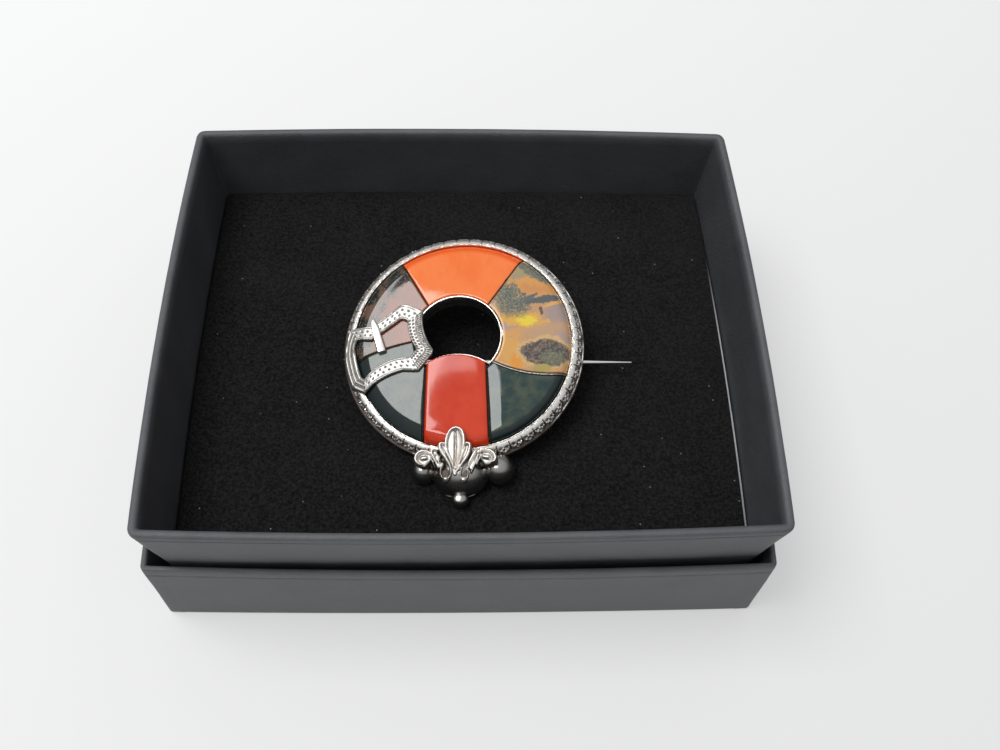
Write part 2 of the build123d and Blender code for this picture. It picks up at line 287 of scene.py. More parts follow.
def plug(material, links, relief, depth):
    """Links wires to the shader's sockets, and a relief of a depth in millimetres."""
    tree = material.node_tree
    shader = tree.nodes["Principled BSDF"]
    bump = relief.node("Bump", {}, {"Height": relief, "Distance": depth * MM})
    for socket, wire in {**links, "Normal": bump}.items():
        tree.links.new(wire.socket, shader.inputs[socket])


def flat_place(wire):
    """Places in the brooch's own flat frame, in millimetres."""
    return wire.shifted(tuple(laid_place), tuple(laid.to_euler("XYZ")), (MM, MM, MM))


def silver_material(name, wear, tarnish_from, tarnish_to, roughness, brightness=1.0):
    """Silver, bright where it is rubbed and grey-brown in its hollows."""
    material, place = new_material(name, {"Metallic": 1.0})
    place = flat_place(place)
    cloud = place.noise(1.1, 4.0, 0.6)
    # tarnish from the hollows and, on the border's foot wire, painted shade
    tarnish = (place.stored("hollow") + (cloud - 0.5) * wear).rise(tarnish_from, tarnish_to)
    film = place.noise(0.35, 3.0).rise(0.45, 0.75)
    polished_tone = between((0, 0, 0), (0.94, 0.91, 0.86), brightness)
    dull_tone = between((0, 0, 0), (0.78, 0.74, 0.68), brightness)
    scratches = place.stretched(0.6, (9.0, 0.35, 1.0)).noise(3.0, 5.0, 0.65)
    rough = tarnish * 0.35 + film * 0.05 + scratches * 0.08 + roughness
    colour = tarnish.colour(film.colour(polished_tone, dull_tone), (0.16, 0.13, 0.11))
    plug(material, {"Base Color": colour, "Roughness": rough}, scratches, 0.006)
    return material


def belong(piece, finish, node=None):
    """Gives a piece its material and its slot, and the place of the solid that it stands for."""
    piece.data.materials.append(finish)
    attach(piece, "root")
    if node:
        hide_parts(node)


def set_on_pad(piece, finish, node=None, degrees=40):
    """Smooths a piece of the brooch and sets it in its place on the pad."""
    smooth(piece, degrees)
    lay(piece)
    belong(piece, finish, node)


def band_height(column, share):
    """How far the chased band stands out, in millimetres, at a column and a place across it.

    share is 0 at the foot wire and 1 at the lip. A plain inner part slopes to the lip, and the
    outer part has a lozenge in each cell, beads beside it and a pointed cut between cells.
    """
    cell, place = divmod(column, cell_columns)
    place /= cell_columns
    wobble = sin(cell * 12.9898) * 0.5 + sin(cell * 4.1) * 0.3
    edge = min(place, 1 - place)
    scallop = 0.05 * cos(4 * pi * place) + 0.06 * wobble
    height = between(-0.09, 0.06, step(0.5, 0.62, share + scallop))
    lozenge = abs(place - 0.5 + 0.04 * wobble) / 0.34 + abs(share - 0.3) / 0.28
    height += 0.2 * dent(lozenge - 0.75, 0.3) - 0.05 * dent(lozenge, 0.4)
    height += 0.17 * dent(hypot((edge - 0.12) * 2.05, (share - 0.4) * 1.74), 0.2)
    height += 0.12 * dent(hypot((edge - 0.16) * 2.05, (share - 0.12) * 1.74), 0.14)
    cut_width = between(0.12, 0.045, step(0.2, 0.6, share)) * (1 + 0.3 * wobble)
    height -= 0.3 * max(0, 1 - edge / cut_width) * step(0.88, 0.78, share + 0.12 * wobble)
    grain = between(0.08, 0.025, step(0.5, 0.66, share)) * noise.noise((column * 0.31, share * 9.0, 2.0))
    return height + grain


def band_place(share):
    """A point of the band's rounded cross-section, and the way that it faces."""
    first, last = between(band_foot, band_bend, share), between(band_bend, band_top, share)
    along = (last[0] - first[0], last[1] - first[1])
    length = hypot(*along)
    return between(first, last, share), (along[1] / length, -along[0] / length)


# Profile of the border from the outside of its foot, over the band and the lip, and back under:
# (radius, height, place across the band)
profile = [(18.75, 0, 0), (ring_radius, 0.06, 0), (ring_radius, 0.38, 0), (18.76, 0.5, 0)]
profile += [(18.68, 0.57, 0), (18.6, 0.58, 0), (18.54, 0.56, 0)]
band_first = len(profile)
profile += [(*band_place(row / band_rows)[0], row / band_rows) for row in range(band_rows + 1)]
profile += [(17.2, 2.1, 1), (17.16, 2.13, 1), (17.11, 2.17, 1), (17.06, 2.19, 1)]
profile += [(17.0, 2.17, 1), (lip_radius, 2.08, 1), (lip_radius, 1.4, 1), (lip_radius, 0, 1)]

columns = cell_count * cell_columns
rows = []
for number, (radius, height, share) in enumerate(profile + profile[:1]):
    row = []
    on_band = band_first <= number <= band_first + band_rows
    for column in range(columns):
        angle = 2 * pi * column / columns
        grain = noise.noise((column * 0.2, radius * 9, height * 9))
        out = band_height(column, share) if on_band else (0.02 + 0.03 * share) * grain
        facing = band_place(share)[1]
        reach = radius + out * facing[0]
        hand = 0.012 * sin(5 * angle) + 0.01 * sin(11 * angle + 1)
        row.append((reach * cos(angle), reach * sin(angle), height + out * facing[1] + hand * (height > 1)))
    rows.append(row)


def foot_painted_shade(x, y, z):
    """Painted shade on the foot wire, drawn as tarnish, least on the right where light falls on it."""
    if hypot(x, y) < 18.35 or z > 0.85:
        return -1.0
    return 0.85 - 0.5 * step(10, 17, x) + 0.5 * noise.noise((x * 0.9, y * 0.9, z * 4))


border = lofted("chased_border", rows, closed_rows=True)
# Painted shade darkens the border's foot wire, least on the right
mark_hollows(border, 0.035, 3, foot_painted_shade)
chased_silver = silver_material("chased_silver", 0.6, 0.05, 0.68, 0.33, 0.98)
set_on_pad(border, chased_silver, "silver_frame", 50)


# Back plate and collar: a flat sheet of silver with the centre hole cut out, and a thin strip
# bent to the hole's outline and soldered in. The stones are cemented between the collar and
# the border. The hole is round, with the strap's arched end reaching into it.

hole_x = -0.65
hole_y = 0.8
hole_radius = 6.55
collar_wall = 0.3
plate_thick = 0.6
plate_radius = 16.92
hole_count = 192
strap_x = -0.9
strap_half = 4.8
strap_foot_half = 5.3
arch_top = -2.1
arch_rise = 1.5
arch_radius = (strap_half ** 2 + arch_rise ** 2) / (2 * arch_rise)


def hole_edge(grow, height):
    """The hole's outline grown outwards, as a loop of points at a height."""
    points = []
    centre_y = arch_top - grow - arch_radius
    for number in range(hole_count):
        angle = 2 * pi * number / hole_count
        x, y = cos(angle), sin(angle)
        length = hole_radius + grow
        to_x, to_y = strap_x - hole_x, centre_y - hole_y
        along = to_x * x + to_y * y
        missed = to_x ** 2 + to_y ** 2 - along ** 2
        if along > 0 and missed < arch_radius ** 2:
            length = min(length, along - sqrt(arch_radius ** 2 - missed))
        points.append((hole_x + length * x, hole_y + length * y, height))
    return points


def circle_edge(radius, height):
    """A loop of points round the brooch's middle that faces the hole's loop."""
    points = []
    for number in range(hole_count):
        angle = 2 * pi * number / hole_count
        x, y = cos(angle), sin(angle)
        along = hole_x * x + hole_y * y
        length = -along + sqrt(along ** 2 - hole_x ** 2 - hole_y ** 2 + radius ** 2)
        points.append((hole_x + length * x, hole_y + length * y, height))
    return points


rows = [
    circle_edge(plate_radius, 0.02),
    circle_edge(plate_radius, plate_thick),
    hole_edge(0.06, plate_thick),
    hole_edge(0.02, 0.5),
    hole_edge(0.02, 0.06),
    hole_edge(0.1, 0.0),
    circle_edge(12.0, 0.0),
    circle_edge(plate_radius, 0.02),
]
plate = lofted("back_plate", rows, closed_rows=True)
mark_hollows(plate, 0.5)
plain_silver = silver_material("plain_silver", 0.8, 0.3, 1.3, 0.16)
set_on_pad(plate, plain_silver)

# Profile of the collar, from its foot up the inside and down the outside: (growth, height)
collar_profile = [(0.02, 0.5), (0.0, 0.6), (0.0, 2.9), (0.03, 3.13), (0.09, 3.2), (0.2, 3.2)]
collar_profile += [(0.27, 3.14), (collar_wall, 3.0), (collar_wall, 0.6), (0.2, 0.5), (0.02, 0.5)]
rows = [hole_edge(grow, height) for grow, height in collar_profile]
collar = lofted("hole_collar", rows, closed_rows=True)
mark_hollows(collar, 0.5)
set_on_pad(collar, plain_silver)


# Stones: slabs of agate, bloodstone and jasper, cut to their places, domed a little and rolled
# down at the outer edge on a wheel, and polished. Each is a fan between two joints, from the
# hole to the border, and its edges are broken by polishing, with small chips along the joints.

stone_radius = 16.85
stone_base = 0.7
roll_radius = 15.25
roll_width = 2.2
roll_drop = 0.045
roll_height = 3.1
edge_height = 2.0
crown_height = 3.4
across_count = 56
across_length = 12.0
along_count = 40
along_length = 9.0
crisp_angle = 60
joint_half = 0.09
chip = 0.07
# How a stone's edge is broken: (distance in from its side, drop)
EDGE_STEPS = [(0.0, -0.3), (0.02, -0.1), (0.06, -0.035), (0.13, -0.008), (0.24, 0.0)]

# Joints: (angle of the inner end round the hole, angle of the outer end round the ring, swell
# to the left on the way out)
upper_left = (132.0, 124.5, 0.0)
upper_right = (46.9, 55.2, 0.0)
lower_right = (-40.0, -16.6, -1.3)
lower_left = (186.1, 192.2, -0.6)


def stone_surface(x, y):
    """Height of the ring of stones: a low cone that rolls down at its outer edge."""
    radius = hypot(x, y)
    if radius < roll_radius:
        height = crown_height + (roll_height - crown_height) * radius / roll_radius
        return height - roll_drop * step(roll_radius - roll_width, roll_radius, radius)
    share = min(1, (radius - roll_radius) / (stone_radius - roll_radius))
    fall = share * (0.42 + 0.58 * share * share)
    return roll_height - roll_drop + (edge_height + roll_drop - roll_height) * fall


def spread(count, width):
    """Shares from 0 to 1 across a width, close together at both edges, each with its drop."""
    inner = EDGE_STEPS[-1][0]
    places = list(EDGE_STEPS)
    for number in range(1, count):
        places.append((inner + (width - 2 * inner) * number / count, 0.0))
    places += [(width - distance, drop) for distance, drop in reversed(EDGE_STEPS)]
    return [(distance / width, drop) for distance, drop in places]


def crossing(path, centre, reach):
    """Share of a path that leads outwards at which it is so far from a centre."""
    low, high = 0.0, 1.0
    for _ in range(30):
        middle = (low + high) / 2
        if dist(path(middle), centre) < reach:
            low = middle
        else:
            high = middle
    return low


def beside(start_point, end_point, share, swell):
    """A point part of the way along a line, moved over to its left by swell."""
    dx, dy = end_point[0] - start_point[0], end_point[1] - start_point[1]
    swell /= hypot(dx, dy)
    return (start_point[0] + share * dx - swell * dy, start_point[1] + share * dy + swell * dx)


def cut_side(start_point, end_point, bulge, shift, chipped=0.0):
    """A joint's line moved over to its left by shift, cut off at the hole and at the border."""
    def path(share):
        nick = noise.noise((share * 19, shift * 50, start_point[0])) * 2 - 0.5
        swell = 4 * share * (1 - share) * bulge + shift
        swell += chipped * max(0, nick) * (1 if shift > 0 else -1)
        return beside(start_point, end_point, share, swell)

    first = crossing(path, (hole_x, hole_y), hole_radius + collar_wall + 0.1)
    last = crossing(path, (0, 0), stone_radius)
    return lambda share: path(between(first, last, share))


def joint_side(joint, shift, chipped=0.0):
    """One side of a joint, or its middle line, as a function of a share from the hole out."""
    inner, outer = radians(joint[0]), radians(joint[1])
    start_point = (hole_x + hole_radius * cos(inner), hole_y + hole_radius * sin(inner))
    end_point = (ring_radius * cos(outer), ring_radius * sin(outer))
    return cut_side(start_point, end_point, joint[2], shift, chipped)


def strap_side(sign, shift):
    """The line beside the strap, on its right for a sign of 1 and on its left for -1."""
    start_point = (strap_x + sign * strap_half, arch_top - arch_rise)
    end_point = (strap_x + sign * strap_foot_half, -ring_radius)
    return cut_side(start_point, end_point, 0.0, shift)


def round_side(centre, start_point, end_point):
    """An arc round a centre, the short way from one point to another, as a function of a share."""
    first = atan2(start_point[1] - centre[1], start_point[0] - centre[0])
    turn = atan2(end_point[1] - centre[1], end_point[0] - centre[0]) - first
    turn = (turn + pi) % (2 * pi) - pi
    reach = dist(start_point, centre)

    def edge(share):
        angle = first + turn * share
        return (centre[0] + reach * cos(angle), centre[1] + reach * sin(angle))
    return edge


def draw_down(piece):
    """Extrudes a surface downwards, to well below the brooch's underside."""
    edit(piece)
    bpy.ops.mesh.extrude_region_move(TRANSFORM_OT_translate={"value": (0, 0, -20 * MM)})
    bpy.ops.object.mode_set(mode="OBJECT")


def stone_slab(name, rows):
    """A stone from its top surface: the rest of it goes straight down to its flat base."""
    stone = lofted(name, rows, round_rows=False, closed_rows=True)
    draw_down(stone)
    for vertex in stone.data.vertices:
        if vertex.co.z < 0:
            vertex.co.z = stone_base * MM
    edit(stone)
    face_outwards()
    return stone


def fan_stone(name, first, second, wave, roll=(0, 0, 0, 0), tilt=(0.0, 0.0), edge_roll=stone_radius):
    """A stone between two sides, each a function of a share from the hole out.

    wave is the unevenness that hand polishing left, as (height, x scale, y scale, phase), roll
    is the slope and the width of each side's facet and tilt is how much it rises to the right and
    to the back, away from the hole. A wide roll down to the border starts at edge_roll.
    """
    inner = round_side((hole_x, hole_y), first(0), second(0))
    outer = round_side((0, 0), first(1), second(1))
    corners = [first(0), second(0), first(1), second(1)]
    rows = []
    for v, drop_v in spread(along_count, along_length):
        row = []
        near, far = first(v), second(v)
        width = dist(near, far)
        for u, drop_u in spread(across_count, across_length):
            sides = between(near, far, u)
            ends = between(inner(u), outer(u), v)
            four = between(between(corners[0], corners[1], u), between(corners[2], corners[3], u), v)
            x, y = sides[0] + ends[0] - four[0], sides[1] + ends[1] - four[1]
            height, scale_x, scale_y, phase = wave
            sway = height * sin(scale_x * x + phase) * sin(scale_y * y + 2 * phase)
            sway += tilt[0] * (x - inner(u)[0]) + tilt[1] * (y - inner(u)[1])
            sway -= roll[0] * max(0, roll[1] - u * width) + roll[2] * max(0, roll[3] - (1 - u) * width)
            surface = stone_surface(x, y)
            past = hypot(x, y) - edge_roll
            if past > 0:
                surface = min(surface, stone_surface(edge_roll, 0) - past * (0.3 + 0.06 * past))
            row.append((x, y, surface + min(drop_u, drop_v) + sway))
        rows.append(row)
    return stone_slab(name, rows)


def polished(name):
    """A stone's material: polished, with the finest scratches of wear."""
    material, place = new_material(name, {"IOR": 1.54})
    return material, flat_place(place)


def polish(material, place, colour):
    """Finishes a stone's material with its colour and its polish."""
    rough = place.noise(2.6, 5.0, 0.7).rise(0.5, 0.8) * 0.05 + 0.05
    plug(material, {"Base Color": colour, "Roughness": rough}, place.noise(0.3, 2.0), 0.006)


# Carnelian: orange agate, clear to a little cloudy, deeper in colour on its rolled outer
# edge, with faint yellow streaks. It fills the top of the ring.

carnelian = fan_stone(
    "carnelian",
    joint_side(upper_left, -joint_half, chip),
    joint_side(upper_right, joint_half, chip),
    (0.006, 0.5, 0.4, 0.3),
    tilt=(0.0, -0.028),
)
carnelian_finish, place = polished("carnelian_orange")
streaks = place.stretched(0.25, (2.2, 9.0, 4.0)).noise(2.4, 4.0, 0.6, 0.4)
clouds = place.noise(0.18, 3.0, 0.55)
tone = clouds.rise(0.35, 0.65).colour((0.93, 0.18, 0.03), (0.96, 0.22, 0.05))
tone = (streaks.rise(0.52, 0.72) * 0.25).colour(tone, (0.97, 0.3, 0.07))
rim = place.shifted((0, 0, 3.0)).reach().rise(15.0, 15.9)
polish(carnelian_finish, place, (rim * 0.85).colour(tone, (0.88, 0.11, 0.008)))
set_on_pad(carnelian, carnelian_finish, "stone_carnelian", crisp_angle)


# Moss agate: golden agate clouded with mauve, with blue-grey moss in its upper half, an ochre
# island in it, a yellow cloud below and one dark oval of dendrites. It fills the right side.

moss_agate = fan_stone(
    "moss_agate",
    joint_side(upper_right, -joint_half, chip),
    joint_side(lower_right, 0.24, 0.4 * chip),
    (0.014, 0.55, 0.4, 1.1),
)
moss_finish, place = polished("moss_agate_gold")
wander = place.noise(0.42, 5.0, 0.62, 0.4)
shreds = place.noise(1.25, 6.0, 0.66, 0.9)
grains = place.noise(3.4, 5.0, 0.7, 0.3)
layers = place.stretched(radians(12), (2.6, 0.8, 1.0)).noise(0.8, 6.0, 0.6, 0.9)


def patch(x, y, half_x, half_y, turn, ragged, edge):
    """1 inside a ragged oval patch of the stone and 0 outside it, with a soft edge."""
    inside = place.shifted((x, y, 3.0), (0, 0, radians(turn)), (half_x, half_y, 1000))
    torn = (shreds - 0.5) * ragged + (wander - 0.5) * (0.7 * ragged) + (grains - 0.5) * (0.4 * ragged)
    return (inside.reach() + torn).rise(1 + edge, 1 - edge)


def patched(tone, patches):
    """A tone with patches on it, each given as what patch takes and its colour."""
    for *shape, colour in patches:
        tone = patch(*shape).colour(tone, colour)
    return tone


gold = layers.rise(0.4, 0.6).colour((0.66, 0.34, 0.115), (0.52, 0.31, 0.17))
gold = (grains.rise(0.5, 0.7) * 0.35).colour(gold, (0.42, 0.22, 0.10))
moss = grains.rise(0.36, 0.56).colour((0.30, 0.29, 0.17), (0.105, 0.12, 0.12))
wedge = grains.rise(0.4, 0.56).colour((0.26, 0.24, 0.15), (0.12, 0.13, 0.12))
green = grains.rise(0.38, 0.6).colour((0.24, 0.22, 0.13), (0.11, 0.12, 0.10))
dark = (shreds + grains * 0.6).rise(0.66, 0.86).colour((0.27, 0.20, 0.125), (0.07, 0.06, 0.065))
dark = patch(14.0, -3.3, 2.0, 1.2, -10, 1.6, 0.4).colour(dark, green)

# Patches of the stone, each over those before it
tone = patched(gold, [
    (13.4, 1.4, 4.0, 3.2, 0, 1.2, 0.5, (0.52, 0.32, 0.19)),
    (14.9, 4.4, 2.2, 1.7, 15, 0.9, 0.4, (0.37, 0.28, 0.25)),
    (15.4, -0.4, 1.6, 1.4, 0, 1.4, 0.4, (0.42, 0.30, 0.25)),
    (7.0, 2.2, 1.5, 0.7, 10, 1.8, 0.4, (0.46, 0.32, 0.25)),
    (9.4, 3.2, 3.3, 1.3, -12, 2.2, 0.2, (0.72, 0.40, 0.075)),
    (10.0, 3.0, 1.6, 0.8, -12, 2.4, 0.25, (0.80, 0.60, 0.06)),
    (7.9, -2.2, 1.7, 2.9, 15, 2.2, 0.3, (0.68, 0.36, 0.10)),
    (8.4, -3.6, 0.9, 1.2, 0, 2.2, 0.3, (0.72, 0.30, 0.05)),
])
tone = (patch(7.9, 6.9, 2.9, 3.1, 20, 1.5, 0.2) * shreds.rise(0.33, 0.45)).colour(tone, moss)
tone = patched(tone, [
    (9.3, 11.5, 2.3, 1.3, 35, 2.0, 0.2, (0.38, 0.29, 0.16)),
    (11.5, 8.7, 3.4, 1.5, -12, 1.9, 0.12, (0.66, 0.32, 0.09)),
])
tone = (patch(11.3, 8.4, 2.2, 0.8, -12, 2.6, 0.2) * 0.7).colour(tone, (0.60, 0.25, 0.10))
tone = patched(tone, [
    (11.4, 11.3, 3.1, 1.05, -36, 1.6, 0.15, wedge),
    (12.7, 6.6, 2.9, 0.6, 8, 1.5, 0.15, (0.11, 0.12, 0.12)),
    (10.8, 7.0, 1.2, 0.35, 30, 1.6, 0.2, (0.13, 0.14, 0.14)),
    (14.3, 5.85, 1.7, 0.26, 20, 1.0, 0.3, (0.74, 0.38, 0.12)),
    (12.3, 4.6, 0.3, 0.8, 12, 1.8, 0.2, (0.15, 0.10, 0.09)),
    (12.9, -2.3, 4.3, 2.75, -4, 0.8, 0.08, (0.64, 0.42, 0.19)),
    (12.9, -2.4, 3.75, 2.2, -4, 0.8, 0.07, dark),
    (12.2, -4.9, 1.3, 0.7, 0, 2.2, 0.3, (0.40, 0.32, 0.10)),
])
flecks = grains.rise(0.62, 0.70) * wander.rise(0.45, 0.62) * 0.45
tone = flecks.colour(tone, (0.16, 0.12, 0.10))
polish(moss_finish, place, tone)
set_on_pad(moss_agate, moss_finish, "stone_moss_agate", crisp_angle)


# Bloodstones: dark green jasper, mottled teal and olive, with the finest pale specks, and
# painted shade that makes their rolled outer edges nearly black. One fills the lower right,
# the other the lower left.

bloodstone_right = fan_stone(
    "bloodstone_right",
    joint_side(lower_right, -0.24, 0.4 * chip),
    strap_side(1, 0.02),
    (0.006, 0.5, 0.5, 2.0),
    (0.06, 0.6, 0.07, 1.75),
)
bloodstone_finish, place = polished("bloodstone_green")
mottle = place.noise(0.55, 6.0, 0.6, 0.3)
specks = place.noise(5.0, 3.0, 0.8).rise(0.70, 0.78)
tone = mottle.rise(0.36, 0.66).colour((0.012, 0.040, 0.036), (0.062, 0.078, 0.052))
tone = place.noise(0.3, 3.0).rise(0.5, 0.7).colour(tone, (0.016, 0.040, 0.038))
tone = (specks * 0.7).colour(tone, (0.18, 0.19, 0.15))
reach = place.shifted((0, 0, 3.0)).reach()
# Painted shade: the rolled outer edge, from further in on the left, is darkened nearly to black
painted_edge_shade = (reach - place.part("X").rise(-1.0, 1.0) * 0.9).rise(14.45, 14.9)
polish(bloodstone_finish, place, (painted_edge_shade * 0.9).colour(tone, (0.003, 0.009, 0.010)))
set_on_pad(bloodstone_right, bloodstone_finish, "stone_bloodstone_right", crisp_angle)

bloodstone_left = fan_stone(
    "bloodstone_left",
    joint_side(lower_left, joint_half, chip),
    strap_side(-1, -0.02),
    (0.012, 0.5, 0.3, 0.7),
    edge_roll=14.6,
)
set_on_pad(bloodstone_left, bloodstone_finish, "stone_bloodstone_left", crisp_angle)


# Grey agate: pinkish grey chalcedony, redder towards the hole, with an outer band of dark
# crystals and brown iron stains. It fills the upper left.

grey_agate = fan_stone(
    "grey_agate",
    joint_side(upper_left, joint_half, chip),
    joint_side(lower_left, -joint_half, chip),
    (0.016, 0.35, 0.45, 0.2),
)
grey_finish, place = polished("grey_agate_pink")
wander = place.noise(0.42, 5.0, 0.62, 0.4)
shreds = place.noise(1.0, 6.0, 0.66, 0.6)
reach = place.shifted((0, 0, 3.0)).reach()
tone = wander.rise(0.3, 0.7).colour((0.26, 0.065, 0.025), (0.15, 0.075, 0.035))
tone = reach.rise(10.5, 7.0).colour(tone, (0.33, 0.09, 0.055))
tone = (shreds.rise(0.56, 0.7) * 0.6).colour(tone, (0.10, 0.095, 0.09))
band = (reach + (shreds - 0.5) * 3.0 + (wander - 0.5) * 2.2).rise(13.3, 13.8)
crystals = (place.cells(2.6) + (shreds - 0.5) * 0.8).rise(0.05, 0.4)
quartz = crystals.colour((0.20, 0.20, 0.20), (0.014, 0.015, 0.011))
stain = place.noise(0.42, 3.0).rise(0.47, 0.6)
quartz = (stain * 0.85).colour(quartz, (0.15, 0.085, 0.055))
tone = band.colour(tone, quartz)
polish(grey_finish, place, tone)
set_on_pad(grey_agate, grey_finish, "stone_grey_agate", crisp_angle)


# Jasper strap: brick red jasper with paler clouds, ground down at both sides, its arched
# end let in over the hole's edge, as the loose end of the strap lies over its other end.

strap_crown = 3.85
strap_grind = 0.27
strap_inset = 0.3
strap_count = 44
rows = []
for v, drop_v in spread(strap_count, 13.0):
    row = []
    for u, drop_u in spread(strap_count, 9.4):
        lean = 2 * u - 1
        x_top = lean * (strap_half - strap_inset)
        x_foot = lean * (strap_foot_half - 0.15 - strap_inset)
        y_top = arch_top - strap_inset - arch_radius + sqrt(arch_radius ** 2 - x_top ** 2)
        y_foot = -sqrt(stone_radius ** 2 - (strap_x + x_foot) ** 2)
        x = strap_x + between(x_top, x_foot, v)
        y = between(y_top, y_foot, v)
        height = stone_surface(x, y) + strap_crown - crown_height
        flat_to = 0.92 if lean < 0 else 0.78
        height -= strap_grind * (max(0, abs(lean) - flat_to) / (1 - flat_to)) ** 2
        height -= 0.014 * (x - strap_x) - 0.0006 * (x - strap_x) * (y + 9) - 0.006 * (y + 9)
        sway = 0.004 * sin(0.5 * x + 0.45 * y) * sin(0.33 * y + 1.2)
        row.append((x, y, height + sway + min(drop_u, drop_v)))
    rows.append(row)
jasper_strap = stone_slab("jasper_strap", rows)
jasper_finish, place = polished("jasper_red")
clouds = place.noise(0.25, 4.0, 0.55, 0.3)
tone = clouds.rise(0.35, 0.65).colour((0.58, 0.030, 0.003), (0.64, 0.048, 0.010))
veins = place.stretched(0.4, (1.0, 4.0, 1.0)).noise(0.9, 4.0).rise(0.55, 0.75)
polish(jasper_finish, place, (veins * 0.35).colour(tone, (0.46, 0.035, 0.015)))
set_on_pad(jasper_strap, jasper_finish, "stone_jasper_strap", crisp_angle)


# Joints: the stones are bedded in dark cement, which shows as a line between them. A thin
# strip of silver is soldered in below the moss agate and stands in the cement there.

strip_count = 90
strip_foot = 0.62
seam_shift = 0.175


def strip(name, path, half, sunk):
    """A thin upright strip along a path, up to where it lies sunk below the stones' surface."""
    rows = []
    for number in range(strip_count + 1):
        share = number / strip_count
        x, y = path(share)
        ahead, behind = path(min(1, share + 0.01)), path(max(0, share - 0.01))
        dx, dy = ahead[0] - behind[0], ahead[1] - behind[1]
        length = hypot(dx, dy)
        nx, ny = -dy / length * half, dx / length * half
        top = stone_surface(x, y) - sunk + 0.05 * noise.noise((x * 3, y * 3, 0))
        rows.append([
            (x - nx, y - ny, strip_foot), (x - nx, y - ny, top), (x, y, top + 0.2 * half),
            (x + nx, y + ny, top), (x + nx, y + ny, strip_foot),
        ])
    return lofted(name, rows)


cement_lines = [joint_side(joint, 0.0) for joint in (upper_left, upper_right, lower_left)]
cement_lines += [joint_side(lower_right, -seam_shift), joint_side(lower_right, seam_shift)]
cement_lines += [strap_side(1, -0.14), strap_side(-1, 0.14)]
cement_halves = [joint_half - 0.015] * 3 + [0.05, 0.05, 0.14, 0.14]
strips = [strip("cement_line", path, half, 0.16) for path, half in zip(cement_lines, cement_halves)]
only(strips[0])
for piece in strips[1:]:
    piece.select_set(True)
bpy.ops.object.join()
cement = current("joint_cement")
cement_finish, place = new_material("dark_cement", {"Specular IOR Level": 0.2})
crumbs = flat_place(place).noise(2.5, 5.0, 0.7)
tone = crumbs.rise(0.45, 0.75).colour((0.012, 0.009, 0.008), (0.06, 0.038, 0.025))
plug(cement_finish, {"Base Color": tone, "Roughness": crumbs * 0.4 + 0.5}, crumbs, 0.08)
set_on_pad(cement, cement_finish)

seam = strip("silver_seam", joint_side(lower_right, 0.0), 0.08, 0.07)
mark_hollows(seam, 0.5)
set_on_pad(seam, silver_material("seam_silver", 1.4, -0.6, 0.4, 0.41, 0.4))


# Buckle: a cast silver frame in the outline of a belt buckle, chased with rims, two zigzag
# rows of punched dots, a comb of short lines on its right arm and flutes on its bar. It lies
# on the stones and is bent down over the border on the left.

buckle_thick = 0.5
buckle_gap = 0.1
bend_radius = 15.2
droop_radius = 17.9
column_length = 0.085
face_steps = 24
face_inset = 0.07

# Edges of the buckle, clockwise from the upper left: outer x and y, swell outwards to the next
# row, inner x and y, swell, and how the stretch to the next row is chased
BUCKLE = [
    (-17.5, 2.6, 0.0, -16.3, 0.6, 0.0, "dots"),
    (-14.0, 2.65, -0.05, -14.05, 0.4, -0.05, "dots"),
    (-9.7, 5.98, 0.1, -9.6, 3.65, 0.1, "dots"),
    (-8.6, 6.15, 0.0, -8.9, 3.6, 0.1, "dots"),
    (-6.05, 5.0, -0.6, -8.45, 3.25, -0.35, "comb"),
    (-4.42, -1.5, 0.1, -7.0, -1.3, 0.0, "comb"),
    (-4.75, -2.5, 0.0, -7.2, -1.75, 0.0, "comb"),
    (-6.6, -4.85, 0.05, -8.0, -2.65, -0.05, "dots"),
    (-9.0, -4.75, -0.5, -9.9, -2.75, -0.5, "dots"),
    (-14.95, -8.1, 0.0, -14.95, -5.9, 0.0, "flutes"),
    (-17.1, -7.0, 0.1, -15.5, -5.4, 0.1, "flutes"),
    (-18.3, -3.2, 0.35, -16.5, -1.6, 0.25, "flutes"),
]


def ring_under(x, y):
    """Height of the stones and the border, eased as a piece laid over them bends."""
    total = 0
    for shift in (-0.5, -0.25, 0, 0.25, 0.5):
        radius = hypot(x, y) + shift
        border_line = 2.25 - max(0, radius - 17.05) * 1.03 if radius > 16.5 else 0
        stone = stone_surface(radius, 0) if radius < stone_radius else 0
        total += max(stone, border_line)
    return total / 5


def buckle_under(x, y):
    """Height that the buckle's face is drawn from: it slopes less steeply than the border."""
    radius = hypot(x, y)
    slope = 0.36 * max(0, radius - bend_radius) + 0.5 * max(0, radius - droop_radius)
    return stone_surface(min(radius, bend_radius), 0) - slope


def chased(kind, out, width, along):
    """Relief of the buckle, in millimetres, at a distance in from its outer edge."""
    inner = width - out
    height = 0.04 * dent(out - 0.14, 0.14) + 0.04 * dent(inner - 0.14, 0.14)
    height -= 0.05 * dent(out - 0.34, 0.07) + 0.05 * dent(inner - 0.34, 0.07)
    if kind == "flutes":
        return height + 0.32 * abs(sin(pi * 3 * out / width)) - 0.14
    dot_lines, pitch = (0.36 * width, 0.66 * width), 0.92
    if kind == "comb":
        dot_lines, pitch = (0.62 * width, 0.84 * width), 0.62
        tooth = abs((along / 0.3) % 1 - 0.5) * 2
        height -= 0.16 * step(0.35, 0.75, tooth) * step(0.2, 0.28, out) * step(0.95, 0.85, out)
        height -= 0.14 * dent(out - 1.12, 0.12)
    for number, line in enumerate(dot_lines):
        nearest = (along / pitch + number / 2) % 1 - 0.5
        height -= 0.15 * dent(hypot(out - line, nearest * pitch), 0.2)
    return height + 0.02 * noise.noise((out * 2.2, along * 2.2, 5))


